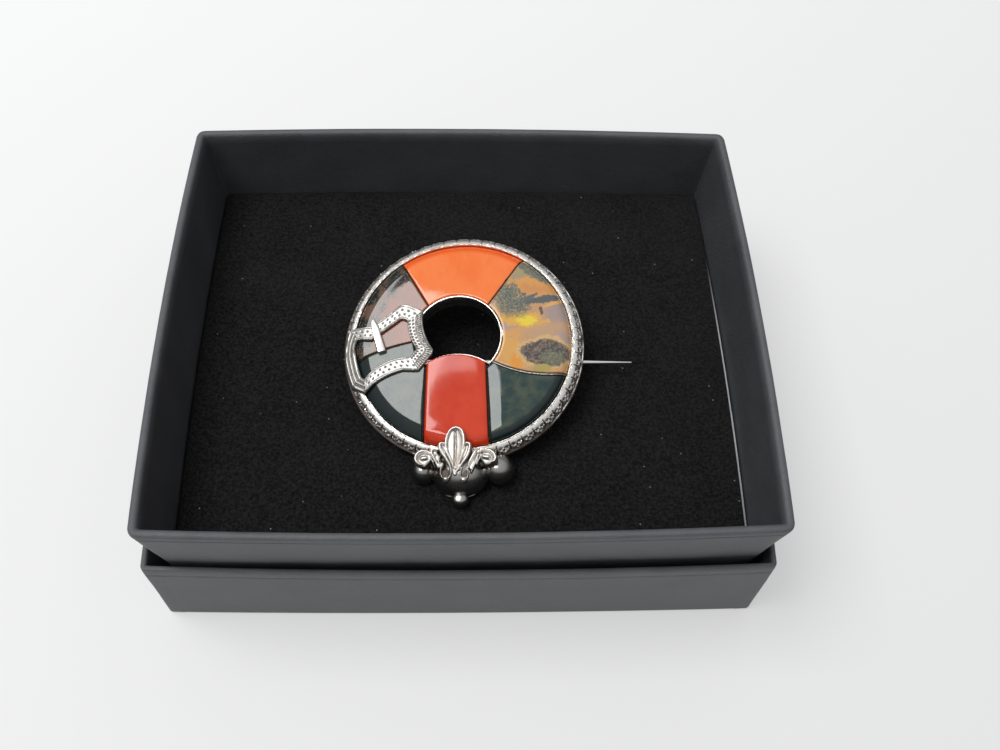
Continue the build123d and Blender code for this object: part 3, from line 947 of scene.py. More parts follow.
# Columns round the buckle: (outer point, inner point, kind of chasing, distance along)
columns = []
along = 0.0
for row, after in zip(BUCKLE, BUCKLE[1:] + BUCKLE[:1]):
    outer_ends, inner_ends = (row[0:2], after[0:2]), (row[3:5], after[3:5])
    lengths = dist(*outer_ends), dist(*inner_ends)
    count = max(4, round(max(lengths) / column_length))
    for number in range(count):
        share = number / count
        swell = 4 * share * (1 - share)
        outer_point = beside(*outer_ends, share, swell * row[2])
        inner_point = beside(*inner_ends, share, swell * row[5])
        columns.append((outer_point, inner_point, row[6], along + sum(lengths) / 2 * share))
    along += sum(lengths) / 2

# Cross-section of the buckle: (distance in from the outer edge, or back from the inner edge
# where negative, or on the face the share of its width, 0 at the underside and 1 at the face,
# drop from there)
section = [(0.04, 0, 0), (0.0, 0, -0.05), (0.0, 1, 0.16), (0.02, 1, 0.06), (face_inset, 1, 0.01)]
face_first = len(section)
section += [(number / face_steps, 1, 0) for number in range(1, face_steps)]
face_last = len(section)
section += [(-face_inset, 1, 0.01), (-0.02, 1, 0.06), (-0.0001, 1, 0.16), (-0.0001, 0, -0.05)]
section += [(-0.04, 0, 0)]
rows = []
for number, (place_across, face, drop) in enumerate(section + section[:1]):
    row = []
    inside = face_first <= number < face_last
    for outer_point, inner_point, kind, along in columns:
        width = dist(outer_point, inner_point)
        if inside:
            out = face_inset + place_across * (width - 2 * face_inset)
        else:
            out = place_across if place_across >= 0 else width + place_across
        x, y = between(outer_point, inner_point, out / width)
        relief = chased(kind, out, width, along) if inside else 0
        low = (buckle_under(x, y) if face else ring_under(x, y)) + buckle_gap
        row.append((x, y, low + face * (buckle_thick + relief) - drop))
    rows.append(row)
buckle = lofted("buckle_frame", rows, closed_rows=True)
mark_hollows(buckle, 0.04, 3)
buckle_silver = silver_material("buckle_silver", 0.5, 0.25, 1.2, 0.42, 0.6)
set_on_pad(buckle, buckle_silver, "buckle", 50)

# The tongue is a plain bar, filed to facets, that lies over the upper arm. It is pointed
# where it is held and wider at its free end: (x, y, width) at each end.
tongue_ends = ((-13.8, 3.5, 1.2), (-12.3, -1.65, 1.45))
tongue_low = 3.55
tongue_fall = 0.45
tongue_thick = 0.85
tongue_outline = ((-0.5, 0), (0.5, 0), (0.5, 0.7), (0.38, 1), (-0.38, 1), (-0.5, 0.7))
dx, dy = tongue_ends[1][0] - tongue_ends[0][0], tongue_ends[1][1] - tongue_ends[0][1]
across = (-dy / hypot(dx, dy), dx / hypot(dx, dy))
rows = []
for share, size in ((0.0, 0.3), (0.3, 1.0), (0.97, 1.0), (1.0, 0.8)):
    x, y, width = between(*tongue_ends, share)
    row = []
    for side, height in tongue_outline:
        offset = side * width * between(1, size, 0.8)
        z = tongue_low - tongue_fall * share + tongue_thick * height * between(1, size, 0.12)
        row.append((x + offset * across[0], y + offset * across[1], z))
    rows.append(row)


def round_edges(piece, width):
    """Rounds a piece's edges over a width in millimetres."""
    only(piece)
    bevel = piece.modifiers.new("filed_edges", "BEVEL")
    bevel.width = width * MM
    bevel.segments = 3
    bpy.ops.object.modifier_apply(modifier=bevel.name)


tongue = lofted("buckle_tongue", rows)
round_edges(tongue, 0.06)
mark_hollows(tongue, 0.5)
set_on_pad(tongue, plain_silver, degrees=30)


# Strap end: one silver casting. Three polished domes and a ball on a thin plate, with an
# acanthus leaf over them that rises on to the stone and curls to a scroll at each side.

# Domes, the middle one first: (middle x, middle y, half width, half length, height, fullness)
DOMES = [
    (-0.45, -20.45, 4.3, 3.55, 3.75, 1.0),
    (-6.05, -19.9, 1.97, 1.97, 2.4, 1.0),
    (5.3, -19.75, 2.4, 2.35, 2.6, 1.0),
    (-0.45, -24.4, 1.35, 1.2, 1.7, 0.72),
]
dome_steps = 25
dome_sides = 96


def dome(name, x, y, half_x, half_y, height, fullness):
    """A polished dome that stands on a thin foot. A fullness below 1 squares its shoulders."""
    rows = []
    for number in range(dome_steps):
        angle = pi / 2 * (1 - number / dome_steps)
        rows.append((cos(angle) ** fullness, 0.0, height * sin(angle) ** fullness))
    rows += [(1.0, 0.0, 0.08), (1.0, 0.0, 0.03), (1.0, -0.04, 0.0)]
    loops = []
    for size, out, z in rows:
        loop = []
        for count in range(dome_sides):
            angle = 2 * pi * count / dome_sides
            loop.append((x + (half_x * size + out) * cos(angle), y + (half_y * size + out) * sin(angle), z))
        loops.append(loop)
    return lofted(name, loops)


domes = dome("strap_end_domes", *DOMES[0])
for extra in DOMES[1:]:
    other = dome("dome", *extra)
    only(domes)
    union = domes.modifiers.new("soldered", "BOOLEAN")
    union.operation = "UNION"
    union.object = other
    bpy.ops.object.modifier_apply(modifier=union.name)
    only(other)
    bpy.ops.object.delete()
mark_hollows(domes, 0.5)
# Painted shade: the domes, the ball and the tip plate get a darker copy of the silver, standing in for the
# dark room that the polished domes reflect
shaded_dome_silver = silver_material("shaded_dome_silver", 0.8, 0.3, 1.3, 0.21, 0.42)
set_on_pad(domes, shaded_dome_silver, degrees=35)

# Tip: a thin rounded plate below the ball
start()
bpy.ops.mesh.primitive_cylinder_add(vertices=64, radius=MM, depth=0.24 * MM, scale=(2.5, 0.9, 1),
                                    location=(-0.45 * MM, -23.15 * MM, 0.12 * MM))
tip = current("strap_end_tip")
bpy.ops.object.transform_apply(location=True, rotation=False, scale=True)
round_edges(tip, 0.1)
mark_hollows(tip, 0.5)
set_on_pad(tip, shaded_dome_silver)

# Rims, ribs and scrolls of the leaf, each a run of (x, y, half width, crest height)
LEAF = [
    # rim of the middle lobe, broad on its right, and its rib
    [(-1.9, -18.6, 0.18, 4.45), (-2.28, -17.15, 0.25, 4.75), (-2.23, -16.3, 0.27, 4.82),
     (-2.03, -15.55, 0.27, 4.85), (-1.7, -14.93, 0.27, 4.87), (-1.28, -14.55, 0.27, 4.88),
     (-0.72, -14.4, 0.28, 4.9), (-0.15, -14.6, 0.3, 4.9), (0.18, -15, 0.34, 4.88),
     (0.38, -15.6, 0.3, 4.87), (0.46, -16.3, 0.3, 4.84), (0.4, -17.05, 0.3, 4.8),
     (0, -18.4, 0.21, 4.5)],
    [(-0.86, -14.75, 0.11, 4.7), (-0.8, -15.85, 0.17, 4.78), (-0.8, -17.15, 0.18, 4.75),
     (-0.85, -18.5, 0.16, 4.6), (-0.88, -20.6, 0.12, 4.2)],
    # left upper lobe: its outer rim, and the inner one beside the fold
    [(-2.3, -16.85, 0.22, 4.72), (-2.7, -16.72, 0.25, 4.75), (-3.08, -16.78, 0.28, 4.75),
     (-3.2, -17.1, 0.28, 4.74), (-3.1, -17.6, 0.28, 4.72), (-2.8, -18.15, 0.28, 4.7),
     (-2.38, -18.78, 0.28, 4.66), (-1.98, -19.42, 0.27, 4.56), (-1.7, -20.1, 0.24, 4.4),
     (-1.55, -20.72, 0.22, 4.22), (-1.52, -21.15, 0.18, 4.08)],
    [(-2.72, -17.15, 0.13, 4.62), (-2.42, -17.55, 0.22, 4.66), (-2.05, -18.15, 0.24, 4.64),
     (-1.65, -18.95, 0.23, 4.56), (-1.38, -19.6, 0.21, 4.45), (-1.15, -20.4, 0.16, 4.25)],
    # left lower lobe: its outer rim and two ribs
    [(-3.55, -17.72, 0.19, 4.58), (-4.1, -17.62, 0.25, 4.62), (-4.42, -17.85, 0.27, 4.6),
     (-4.3, -18.35, 0.25, 4.56), (-3.98, -19, 0.23, 4.48), (-3.68, -19.65, 0.21, 4.35),
     (-3.45, -20.3, 0.16, 4.15)],
    [(-3.2, -18.6, 0.13, 4.45), (-3.3, -19.3, 0.18, 4.42), (-3.42, -20.1, 0.14, 4.2)],
    [(-2.7, -19.6, 0.16, 4.35), (-2.88, -20.1, 0.21, 4.28), (-3.08, -20.65, 0.18, 4.1),
     (-3.1, -21.2, 0.17, 3.95), (-2.85, -21.75, 0.17, 3.85)],
    # right side of the left spoon, and its bead
    [(-1.52, -21.1, 0.18, 4.1), (-1.6, -21.5, 0.17, 3.98), (-1.85, -21.85, 0.17, 3.88)],
    [(-2.3, -22.02, 0.5, 4.2), (-2.26, -22, 0.48, 4.2)],
    # right upper lobe
    [(0.5, -16.95, 0.22, 4.72), (0.95, -16.75, 0.25, 4.75), (1.28, -16.9, 0.29, 4.75),
     (1.32, -17.35, 0.3, 4.74), (1.15, -18.1, 0.3, 4.7), (0.8, -18.85, 0.29, 4.66),
     (0.32, -19.55, 0.28, 4.56), (-0.15, -20.2, 0.24, 4.4), (-0.45, -20.8, 0.18, 4.2)],
    [(0.62, -17.4, 0.13, 4.62), (0.3, -18.05, 0.22, 4.66), (-0.02, -18.85, 0.23, 4.58),
     (-0.27, -19.6, 0.19, 4.46), (-0.4, -20.3, 0.14, 4.3)],
    # right lower lobe: a broad rim and a rib
    [(2.5, -17.8, 0.25, 4.6), (2.1, -18.05, 0.3, 4.64), (1.75, -18.7, 0.35, 4.6),
     (1.38, -19.4, 0.32, 4.5), (1.08, -20, 0.25, 4.36), (0.9, -20.5, 0.19, 4.2)],
    [(2.5, -18.5, 0.16, 4.45), (2.25, -19.2, 0.22, 4.42), (1.97, -19.95, 0.22, 4.3),
     (1.7, -20.55, 0.19, 4.15), (1.45, -21.1, 0.16, 4)],
    # sides of the right spoon, and its bead
    [(0.1, -20.4, 0.17, 4.3), (-0.12, -21.05, 0.18, 4.12), (-0.2, -21.6, 0.18, 3.98),
     (-0.05, -21.95, 0.18, 3.9)],
    [(0.88, -20.5, 0.17, 4.25), (1.03, -21.1, 0.18, 4.1), (0.98, -21.6, 0.18, 3.98),
     (0.8, -21.95, 0.18, 3.9)],
    [(0.25, -22.15, 0.52, 4.25), (0.42, -22.13, 0.52, 4.25)],
    # left scroll, its stem and its eye
    [(-3.85, -18.5, 0.16, 4.4), (-4.38, -18.3, 0.23, 4.5), (-4.93, -17.9, 0.3, 4.55),
     (-5.7, -17.8, 0.34, 4.58), (-6.3, -18, 0.35, 4.58), (-6.68, -18.45, 0.35, 4.56),
     (-6.78, -18.97, 0.34, 4.52), (-6.58, -19.45, 0.32, 4.46), (-6.2, -19.77, 0.28, 4.38),
     (-5.8, -19.85, 0.21, 4.25)],
    [(-4.55, -18.85, 0.13, 4.3), (-4.2, -19.4, 0.17, 4.25), (-3.98, -20.05, 0.13, 4.05)],
    [(-5.75, -18.9, 0.42, 4.45), (-5.2, -18.85, 0.36, 4.45)],
    # right scroll, its stem and its eye
    [(2.45, -18.2, 0.18, 4.45), (3.05, -17.85, 0.28, 4.55), (3.7, -17.8, 0.32, 4.58),
     (4.38, -18, 0.33, 4.58), (4.85, -18.45, 0.33, 4.56), (5.08, -19.05, 0.32, 4.5),
     (4.95, -19.47, 0.28, 4.44), (4.5, -19.7, 0.21, 4.3)],
    [(3.05, -18.45, 0.13, 4.35), (2.62, -19.2, 0.18, 4.28), (2.3, -20, 0.13, 4.05)],
    [(3.35, -18.85, 0.36, 4.45), (3.95, -18.95, 0.42, 4.46)],
]
# Sheet of the leaf between them, the same way
LEAF_SHEET = [
    [(-0.95, -15.1, 0.9, 4.38), (-0.9, -16.4, 1.25, 4.36), (-0.9, -17.6, 1.25, 4.32),
     (-0.9, -18.8, 1.0, 4.25), (-0.9, -20.4, 0.6, 4.05), (-0.95, -21.2, 0.4, 3.9)],
    [(-2.85, -17.0, 0.35, 4.3), (-2.4, -18.1, 0.5, 4.28), (-1.75, -19.6, 0.5, 4.15)],
    [(1.0, -17.0, 0.35, 4.3), (0.65, -18.1, 0.5, 4.28), (0.05, -19.6, 0.5, 4.15)],
    [(-4.0, -17.95, 0.42, 4.18), (-3.55, -19.0, 0.55, 4.1), (-3.2, -20.0, 0.42, 3.95)],
    [(2.25, -18.1, 0.42, 4.18), (1.8, -19.1, 0.55, 4.1), (1.5, -20.4, 0.4, 3.92)],
    [(-2.3, -21.0, 0.7, 3.62), (-2.3, -21.7, 0.6, 3.55)],
    [(0.42, -21.0, 0.6, 3.65), (0.4, -21.8, 0.6, 3.6)],
    [(-5.6, -19.0, 1.2, 4.0), (-4.5, -18.7, 0.5, 4.05)],
    [(3.8, -18.9, 1.2, 4.0), (2.9, -18.6, 0.5, 4.05)],
]
# Cut lines, the same way with their depth: beside the middle rib and along the folds
LEAF_CUTS = [
    [(-1.02, -14.85, 0.08, 0.1), (-1.0, -17.2, 0.1, 0.18), (-1.05, -20.2, 0.1, 0.15)],
    [(-2.62, -17.3, 0.1, 0.2), (-2.2, -18.2, 0.1, 0.2), (-1.75, -19.5, 0.09, 0.15)],
    [(0.62, -17.0, 0.1, 0.2), (0.95, -17.1, 0.1, 0.2)],
    [(-3.45, -17.9, 0.09, 0.2), (-3.05, -18.6, 0.1, 0.25), (-2.35, -19.75, 0.1, 0.25)],
    [(1.6, -18.2, 0.09, 0.2), (1.1, -19.2, 0.1, 0.25), (0.5, -20.1, 0.1, 0.25)],
]
leaf_step = 0.055
leaf_corner = (-7.5, -23.1)
leaf_columns = 244
leaf_rows = 164
# Where the leaf comes to lie over the stone, and the height of its underside before and there
leaf_rise_y = (-18.0, -17.0)
leaf_under = (2.3, 3.75)


def across_run(run, x, y):
    """Where a point lies across a run: distance as a share of its half width, its last value."""
    best = (9.0, 0.0)
    for (x0, y0, half0, value0), (x1, y1, half1, value1) in zip(run, run[1:]):
        dx, dy = x1 - x0, y1 - y0
        share = ((x - x0) * dx + (y - y0) * dy) / (dx * dx + dy * dy)
        share = min(1, max(0, share))
        half = half0 + (half1 - half0) * share
        distance = hypot(x - x0 - share * dx, y - y0 - share * dy) / half
        if distance < best[0]:
            best = (distance, value0 + (value1 - value0) * share)
    return best


def leaf_height(x, y):
    """Height of the leaf's face over a point, or 0 where there is no leaf."""
    height = 0.0
    for run in LEAF:
        distance, crest = across_run(run, x, y)
        if distance < 1:
            height = max(height, crest - 0.5 * distance * distance)
    for run in LEAF_SHEET:
        distance, crest = across_run(run, x, y)
        if distance < 1:
            height = max(height, crest - 0.3 * distance ** 4)
    for run in LEAF_CUTS:
        distance, depth = across_run(run, x, y)
        if distance < 1 and height:
            height -= depth * (1 - distance)
    return height


rows = []
for number in range(leaf_rows + 1):
    y = leaf_corner[1] + number * leaf_step
    row = []
    for column in range(leaf_columns + 1):
        x = leaf_corner[0] + column * leaf_step
        row.append((x, y, leaf_height(x, y)))
    rows.append(row)
leaf = lofted("strap_end_leaf", rows, round_rows=False, closed_rows=True)
edit(leaf)
bpy.ops.mesh.select_mode(type="FACE")
bpy.ops.mesh.select_all(action="DESELECT")
bpy.ops.object.mode_set(mode="OBJECT")
for face in leaf.data.polygons:
    face.select = any(leaf.data.vertices[corner].co.z < MM for corner in face.vertices)
bpy.ops.object.mode_set(mode="EDIT")
bpy.ops.mesh.delete(type="FACE")
draw_down(leaf)
for vertex in leaf.data.vertices:
    if vertex.co.z < MM:
        vertex.co.z = between(*leaf_under, step(*leaf_rise_y, vertex.co.y / MM)) * MM
edit(leaf)
bpy.ops.mesh.select_mode(type="VERT")
bpy.ops.mesh.normals_make_consistent(inside=False)
bpy.ops.mesh.vertices_smooth(factor=0.5, repeat=2)
bpy.ops.object.mode_set(mode="OBJECT")


def leaf_stain(x, y, z):
    """Tarnish of the leaf's sheet, which is lower than its rims."""
    nearest = min(across_run(run, x, y)[0] for run in LEAF)
    return 0.62 * step(0.26, 0.62, nearest) + 0.6 * step(3.95, 3.6, z) - 0.1


mark_hollows(leaf, 0.07, 7, leaf_stain)
leaf_silver = silver_material("leaf_silver", 0.25, 0.15, 1.05, 0.3)
set_on_pad(leaf, leaf_silver, "strap_end", 70)


# Pin and catch: a steel-hard silver pin, drawn to a point, with its hinge block behind the
# left of the plate, and a hook of bent wire soldered on behind the right that holds it.

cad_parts["pin"].data.materials.clear()
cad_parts["pin"].data.materials.append(plain_silver)

# The pin leaves its hinge at (x, y, height) and falls to the right, and the hook bends round it
pin_start = (-13.2, -1.25, -1.6)
pin_slope = -0.0928
catch_x = 14.2
pin_height = pin_start[2] + (catch_x - pin_start[0]) * pin_slope
hook_steps = 24
hook_reach = 1.05
hook_half_thick = 0.36
hook_half_wide = 1.1
hook_foot = 0.3
rows = []
for number in range(hook_steps + 1):
    angle = pi / 2 - number / hook_steps * 1.5 * pi
    centre_y, centre_z = pin_start[1] + hook_reach * cos(angle), pin_height + hook_reach * sin(angle)
    out_y, out_z = cos(angle), sin(angle)
    if number == 0:
        centre_z, out_y, out_z = hook_foot, 1, 0
    row = []
    for side, out in ((-1, -1), (1, -1), (1, 1), (-1, 1)):
        reach = hook_half_thick * out
        row.append((catch_x + side * hook_half_wide, centre_y + reach * out_y, centre_z + reach * out_z))
    rows.append(row)
catch = lofted("catch_hook", rows)
round_edges(catch, 0.15)
mark_hollows(catch, 0.5)
set_on_pad(catch, plain_silver)


# Tray: the bottom half of a gift box, greyboard wrapped in dark fibrous paper. The paper is
# turned in over the rim, with its cut edge along the inside, and its sides lean out a little.

tray_width = 90.0
tray_depth = 74.0
tray_floor = 1.0
tray_top = 30.5
tray_lean = 0.12
side_bow = 0.9
foot_bow_share = 0.5
box_shift = (0.2, -0.9)
box_turn = radians(0.3)
half_side_count = 60
corner_count = 12


def bowed_loop(width, depth, bow, corner, z, ripple=None):
    """A rounded rectangle whose sides swell outwards, as a loop of points at a height.

    ripple gives how far the loop stands out at a place, as a function of x and y.
    """
    half_x, half_y = width / 2, depth / 2
    points = []
    for side in range(4):
        along, out = ((half_x, half_y), (half_y, half_x))[side % 2]
        line = []
        for number in range(2 * half_side_count + 1):
            place = (along - corner) * (number / half_side_count - 1)
            line.append((place, out + bow * (1 - (place / along) ** 2)))
        for number in range(1, corner_count):
            angle = pi / 2 * number / corner_count
            line.append((along - corner + corner * sin(angle), out - corner + corner * cos(angle)))
        turn = pi + side * pi / 2
        for place, high in line:
            # each side is drawn as the back one and then turned
            x = place * cos(turn) + high * sin(turn)
            y = -place * sin(turn) + high * cos(turn)
            if ripple:
                far = max(abs(x), abs(y), 1)
                grow = ripple(x, y)
                x, y = x + grow * x / far, y + grow * y / far
            points.append((x, y, z))
    return points


def seated(points):
    """A loop of the tray or the pad moved to where they stand in the lid."""
    return [
        (box_shift[0] + x * cos(box_turn) - y * sin(box_turn),
         box_shift[1] + x * sin(box_turn) + y * cos(box_turn), z)
        for x, y, z in points
    ]


def tray_loop(inset, z, corner, wave=0.0):
    """The tray's outline at a height, moved inwards by inset, with the paper's waviness."""
    drop = tray_top - z
    cut = 2 * (inset + tray_lean * drop)
    bow = side_bow * (1 - (1 - foot_bow_share) * drop / (tray_top - tray_floor))

    def ripple(x, y):
        return wave * (noise.noise((x / 9, y / 9, z / 7)) + 0.4 * noise.noise((x / 2.2, y / 2.2, z / 2)))
    return seated(bowed_loop(tray_width - cut, tray_depth - cut, bow, corner, z, ripple if wave else None))


# Rows of the tray from its underside, up the outside, over the rim and down to the floor:
# (distance in, height, corner radius, waviness)
tray_rows = [(6.0, 1.02, 1.0, 0), (0.6, 1.0, 1.2, 0), (0.2, 1.08, 1.3, 0), (0.02, 1.35, 1.3, 0.02)]
tray_rows += [(0.0, 2.0 + 24.6 * number / 14, 1.3, 0.05) for number in range(15)]
tray_rows += [(0.0, 27.6, 1.3, 0.05), (0.0, 28.5, 1.3, 0.05), (0.01, 28.75, 1.3, 0.05)]
tray_rows += [(0.1, 28.88, 1.28, 0.04), (0.12, 29.0, 1.28, 0.04), (0.03, 29.12, 1.3, 0.04)]
tray_rows += [(0.0, 29.35, 1.3, 0.04), (0.02, 29.85, 1.3, 0.04), (0.1, 30.2, 1.22, 0.03)]
tray_rows += [(0.28, 30.42, 1.05, 0.02), (0.5, 30.5, 0.9, 0.02), (0.8, 30.5, 0.7, 0.02)]
tray_rows += [(1.04, 30.42, 0.55, 0.02), (1.2, 30.22, 0.4, 0.02), (1.28, 29.95, 0.35, 0.02)]
tray_rows += [(1.3, 29.5 - 11.0 * number / 12, 0.35, 0.04) for number in range(13)]
tray_rows += [(1.3, 12.0, 0.35, 0), (1.3, 2.4, 0.35, 0), (1.5, 2.32, 0.35, 0), (6.0, 2.3, 0.35, 0)]
tray = lofted("tray_card", [tray_loop(*row) for row in tray_rows])
smooth(tray, 45)

# Dark wrapping paper: matt, fibrous and specked with fluff, and blacker on the tray's inner walls, which is
# painted shade
tone, shade = (0.082, 0.086, 0.092), (0.06, 0.064, 0.07)
card_paper, place = new_material("dark_card_paper", {"IOR": 1.5, "Specular IOR Level": 1.0})
place = place.stretched(0.0, (MM, MM, MM))
fibres = place.shifted((0, 0, 0), (0.3, 0.2, 0.5), (3.0, 0.5, 0.5)).noise(1.6, 6.0, 0.7, 0.5)
clouds = place.noise(0.12, 4.0, 0.6)
fluff = place.noise(3.6, 4.0, 0.8).rise(0.68, 0.8)
colour = clouds.rise(0.35, 0.7).colour(shade, tone)
colour = (fibres.rise(0.5, 0.75) * 0.35).colour(colour, between(tone, (0.3, 0.3, 0.32), 0.25))
colour = (fluff * 0.25).colour(colour, (0.2, 0.19, 0.18))
# painted shade on the tray's inner walls
colour = (place.stored("inner_wall_shade") * 0.6).colour(colour, between(shade, (0, 0, 0), 0.7))
rough = fibres * 0.3 + clouds * 0.15 + 0.38
plug(card_paper, {"Base Color": colour, "Roughness": rough}, fibres + clouds, 0.12)

# Painted shade: points of the inner walls below the rim are marked for the darker colour
inner_wall_shade = tray.data.attributes.new("inner_wall_shade", "FLOAT", "POINT")
for number, vertex in enumerate(tray.data.vertices):
    inward = vertex.normal.xy.dot(vertex.co.xy) < 0 and vertex.co.z < (tray_top - 1.1) * MM
    inner_wall_shade.data[number].value = 1.0 if inward else 0.0
belong(tray, card_paper, "box_tray")


# Lid: the box's other half, upturned below the tray, of the same board and paper. The tray
# stands in it, and its paper is folded in over its rim and pleated at the corners.

lid_width = 91.9
lid_depth = 75.9
lid_top = 18.1
# Pleats at the front corners, where the paper was folded under: (x, y, direction x, y)
PLEATS = [(-43.6, -38.3, 1, 0), (43.6, -38.3, 1, 0), (-46.4, -35.6, 0, 1), (46.4, -35.6, 0, 1)]


def lid_loop(inset, z, corner, wave=0.0, lift=0.0):
    """The lid's outline at a height, moved inwards by inset, with its waviness and pleats."""
    bow = side_bow * between(foot_bow_share, 1, z / lid_top)

    def ripple(x, y):
        grow = wave * (noise.noise((x / 8, y / 8, z / 6 + 5)) + 0.5 * noise.noise((x / 2, y / 2, z)))
        for pleat_x, pleat_y, along_x, along_y in PLEATS:
            off = abs((x - pleat_x) * along_x + (y - pleat_y) * along_y) + 0.06 * (z - 8)
            near = abs((x - pleat_x) * along_y) + abs((y - pleat_y) * along_x) < 2
            if wave and near and off < 0.3:
                grow -= 0.1 * (1 - abs(off) / 0.3)
        return grow
    loop = bowed_loop(lid_width - 2 * inset, lid_depth - 2 * inset, bow, corner, z, ripple)
    return [
        (x, y, height + lift * (noise.noise((x / 6, y / 6, 1)) + 0.6 * noise.noise((x / 1.5, y / 1.5, 3))))
        for x, y, height in loop
    ]


# Rows of the lid, in the same order: (distance in, height, corner radius, waviness, lift)
lid_rows = [(6.0, 0.02, 0.8, 0, 0), (0.5, 0.0, 0.8, 0, 0), (0.12, 0.1, 0.8, 0, 0), (0.0, 0.4, 0.8, 0.01, 0)]
lid_rows += [(0.0, 0.9 + 14.6 * number / 14, 0.8, 0.05, 0) for number in range(15)]
lid_rows += [(0.0, 15.9, 0.8, 0.05, 0), (0.07, 16.06, 0.8, 0.05, 0), (0.09, 16.2, 0.8, 0.05, 0)]
lid_rows += [(0.02, 16.3, 0.8, 0.04, 0), (0.0, 16.6, 0.8, 0.05, 0), (0.0, 17.3, 0.8, 0.05, 0.01)]
lid_rows += [(0.04, 17.75, 0.75, 0.04, 0.03), (0.16, 18.0, 0.65, 0.03, 0.05), (0.34, 18.06, 0.5, 0.02, 0.05)]
lid_rows += [(0.62, 18.04, 0.35, 0.02, 0.05), (0.8, 17.9, 0.2, 0.01, 0.03), (0.88, 17.6, 0.15, 0, 0)]
lid_rows += [(0.9, 17.0, 0.15, 0, 0), (0.9, 9.0, 0.15, 0, 0), (0.9, 1.0, 0.15, 0, 0), (6.0, 0.9, 0.15, 0, 0)]
lid = lofted("lid_card", [lid_loop(*row) for row in lid_rows])
smooth(lid, 45)
belong(lid, card_paper, "box_lid")


# Pad: a block of black foam with a flocked face, cut to the tray and pressed in, a little
# sunk and creased where it was pushed down at its edges. A painted highlight makes its top
# edge pale on the right, and a painted sheen lightens the flock where it is seen at a slant.

pad_floor = 2.4
pad_top = 18.0
pad_inset = 1.55
pad_face = 17.98
face_rows = 70
# Creases at the pad's edges: (x, y, direction, length)
CREASES = [(35.5, -26, -0.39, 6), (34.5, 14, 0.35, 6), (-33, -28, 2.3, 4)]


def pad_loop(extra, z):
    """The pad's outline at a height, moved in from its widest by extra."""
    return tray_loop(pad_inset + extra, z, 0.8)


def flock_height(x, y):
    """How far the pad's face stands above its flat, less than 0 where it was pushed down."""
    sag = 0.10 * noise.noise((x / 14, y / 14, 3)) + 0.05 * noise.noise((x / 4, y / 4, 8))
    for crease_x, crease_y, turn, length in CREASES:
        along = (x - crease_x) * cos(turn) + (y - crease_y) * sin(turn)
        off = -(x - crease_x) * sin(turn) + (y - crease_y) * cos(turn)
        if abs(along) < length:
            sag -= 0.3 * dent(off, 0.6) * (1 - abs(along) / length)
    return sag - 0.12


rows = [pad_loop(3.0, pad_floor), pad_loop(0.1, pad_floor), pad_loop(0.0, pad_floor + 0.2)]
rows += [pad_loop(0.0, z) for z in (6.0, 10.0, 14.0, 17.0, 17.45)]
rows += [pad_loop(0.06, 17.68), pad_loop(0.17, 17.84), pad_loop(0.32, 17.93), pad_loop(0.5, pad_face)]
middle = seated([(0, 0, pad_top)])[0]
for number in range(face_rows):
    share = 1 - number / face_rows
    row = []
    for x, y, z in pad_loop(0.5, pad_face):
        x, y = between(middle[:2], (x, y), share)
        row.append((x, y, pad_face + step(1.0, 0.93, share) * flock_height(x, y)))
    rows.append(row)
pad = lofted("flocked_pad", rows)
# Painted highlight: the pad's top edge on the right, where light falls, is marked to be painted pale
painted_edge_highlight = pad.data.attributes.new("painted_edge_highlight", "FLOAT", "POINT")
for number, vertex in enumerate(pad.data.vertices):
    x, y, z = vertex.co / MM
    catches_light = abs(y) < 32 and z > 17.5 and 0.2 < vertex.normal.x < 0.95
    painted_edge_highlight.data[number].value = step(20, 0, y) * step(-55, -12, y) if catches_light else 0.0
smooth(pad, 60)
flock, place = new_material("black_flock", {"Specular IOR Level": 0.1, "Roughness": 0.95})
place = place.stretched(0.0, (MM, MM, MM))
nap = place.noise(2.0, 7.0, 0.85)
brushed = place.noise(0.09, 3.0) + place.part("X") * 0.002 + place.part("Y") * 0.003
tone = nap.rise(0.38, 0.64).colour((0.003, 0.003, 0.003), (0.022, 0.021, 0.021))
# Painted sheen: the flock's colour is lighter where it is seen at a slant, more where its nap is brushed
facing = place.node("LayerWeight", {}, {"Blend": 0.35}, 1)
tone = (facing * brushed.rise(0.3, 0.8)).colour(tone, (0.036, 0.036, 0.038))
lint = place.cells(0.35).rise(0.045, 0.02)
tone = (lint * 0.7).colour(tone, (0.45, 0.45, 0.45))
# painted highlight on the pad's right edge
tone = (place.stored("painted_edge_highlight") * 0.95).colour(tone, (0.78, 0.79, 0.82))
plug(flock, {"Base Color": tone}, nap, 0.2)
belong(pad, flock, "box_pad")
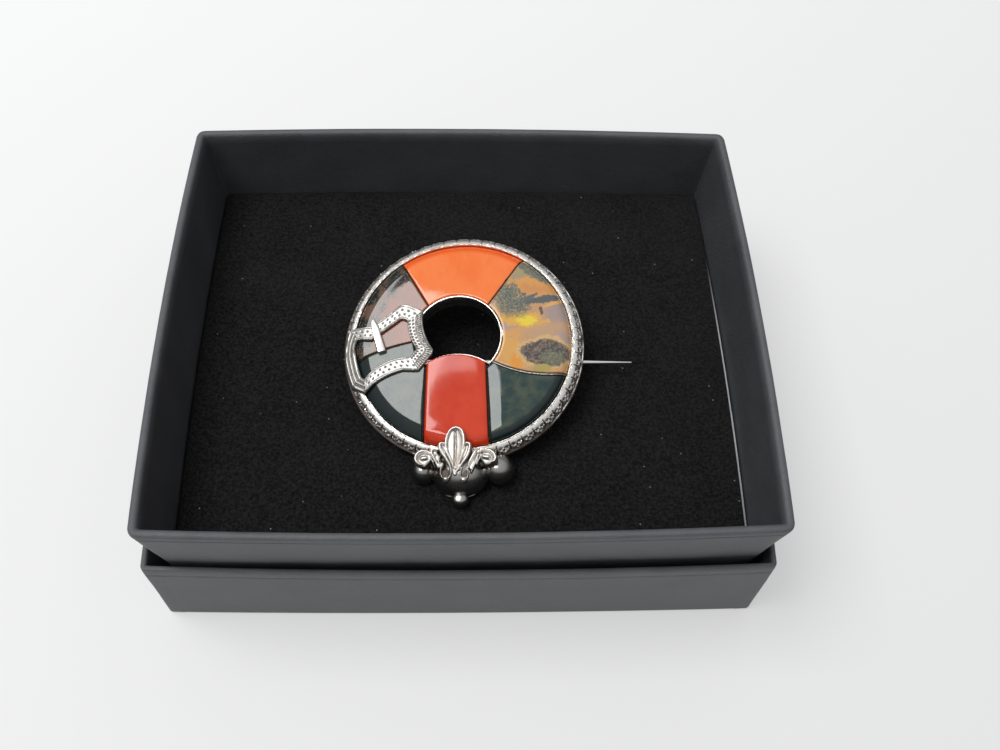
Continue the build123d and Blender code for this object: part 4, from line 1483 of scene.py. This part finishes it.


# Table, light and camera: a pale table with a painted glow, brighter towards the back and the
# left, that evens out the shadows, under a large soft lamp above and to the left and a small
# one, with dimmer light from the room, seen from the front at the photograph's angle.

start()
bpy.ops.mesh.primitive_plane_add(size=6.0, location=(0, 0, -0.0002))
table = current("table")
table_finish, place = new_material("pale_table", {
    "Base Color": (0.42, 0.42, 0.42, 1), "Roughness": 0.6, "Specular IOR Level": 0.2,
    "Emission Strength": 1.0,
})
# Painted light: the table glows, brighter towards the back and the left, so that shadows on it stay faint
painted_table_light = (place.part("Y") * 0.45 - place.part("X") * 0.3 + 0.44).colour((0, 0, 0), (1, 1, 1))
plug(table_finish, {"Emission Color": painted_table_light}, place.noise(300.0, 3.0), 0.01)
table.data.materials.append(table_finish)

world = bpy.data.worlds.new("studio")
world.use_nodes = True
background = world.node_tree.nodes["Background"]
sky = Wire(world.node_tree, world.node_tree.nodes.new("ShaderNodeTexCoord").outputs["Generated"])
height = sky.part("Z").rise(0.2, 0.8)
light = height.colour((0.12, 0.12, 0.12), (0.62, 0.63, 0.65))
world.node_tree.links.new(light.socket, background.inputs["Color"])
background.inputs["Strength"].default_value = 1.0
bpy.context.scene.world = world
bpy.context.scene.view_settings.view_transform = "Standard"

# Lamps: (name, place, width, depth, power), in metres and watts
LAMPS = [
    ("ceiling_lamp", (-0.7125, 0.0225, 1.5), 0.825, 0.945, 17.0),
    ("small_lamp", (-0.24, 0.27, 1.5), 0.12, 0.24, 0.32),
]
for name, lamp_place, width, depth, power in LAMPS:
    start()
    bpy.ops.object.light_add(type="AREA", location=lamp_place)
    lamp = bpy.context.active_object
    lamp.name = name
    lamp.data.shape = "RECTANGLE"
    lamp.data.size = width
    lamp.data.size_y = depth
    lamp.data.energy = power

camera_place = Vector((0.0, -92.965, 160.469)) * MM
rise, yaw, roll = radians(58.288), radians(-3.917), radians(3.437)
back = Vector((sin(yaw) * cos(rise), -cos(yaw) * cos(rise), sin(rise)))
level = (-back).cross(Vector((0, 0, 1))).normalized()
upward = level.cross(-back)
right = cos(roll) * level + sin(roll) * upward
top = cos(roll) * upward - sin(roll) * level
start()
bpy.ops.object.camera_add()
camera = bpy.context.active_object
camera.name = "photo_camera"
camera.matrix_world = Matrix.Translation(camera_place) @ Matrix((right, top, back)).transposed().to_4x4()
camera.data.sensor_width = 36.0
camera.data.lens = 37.555
camera.data.clip_start = 0.005
bpy.context.scene.camera = camera
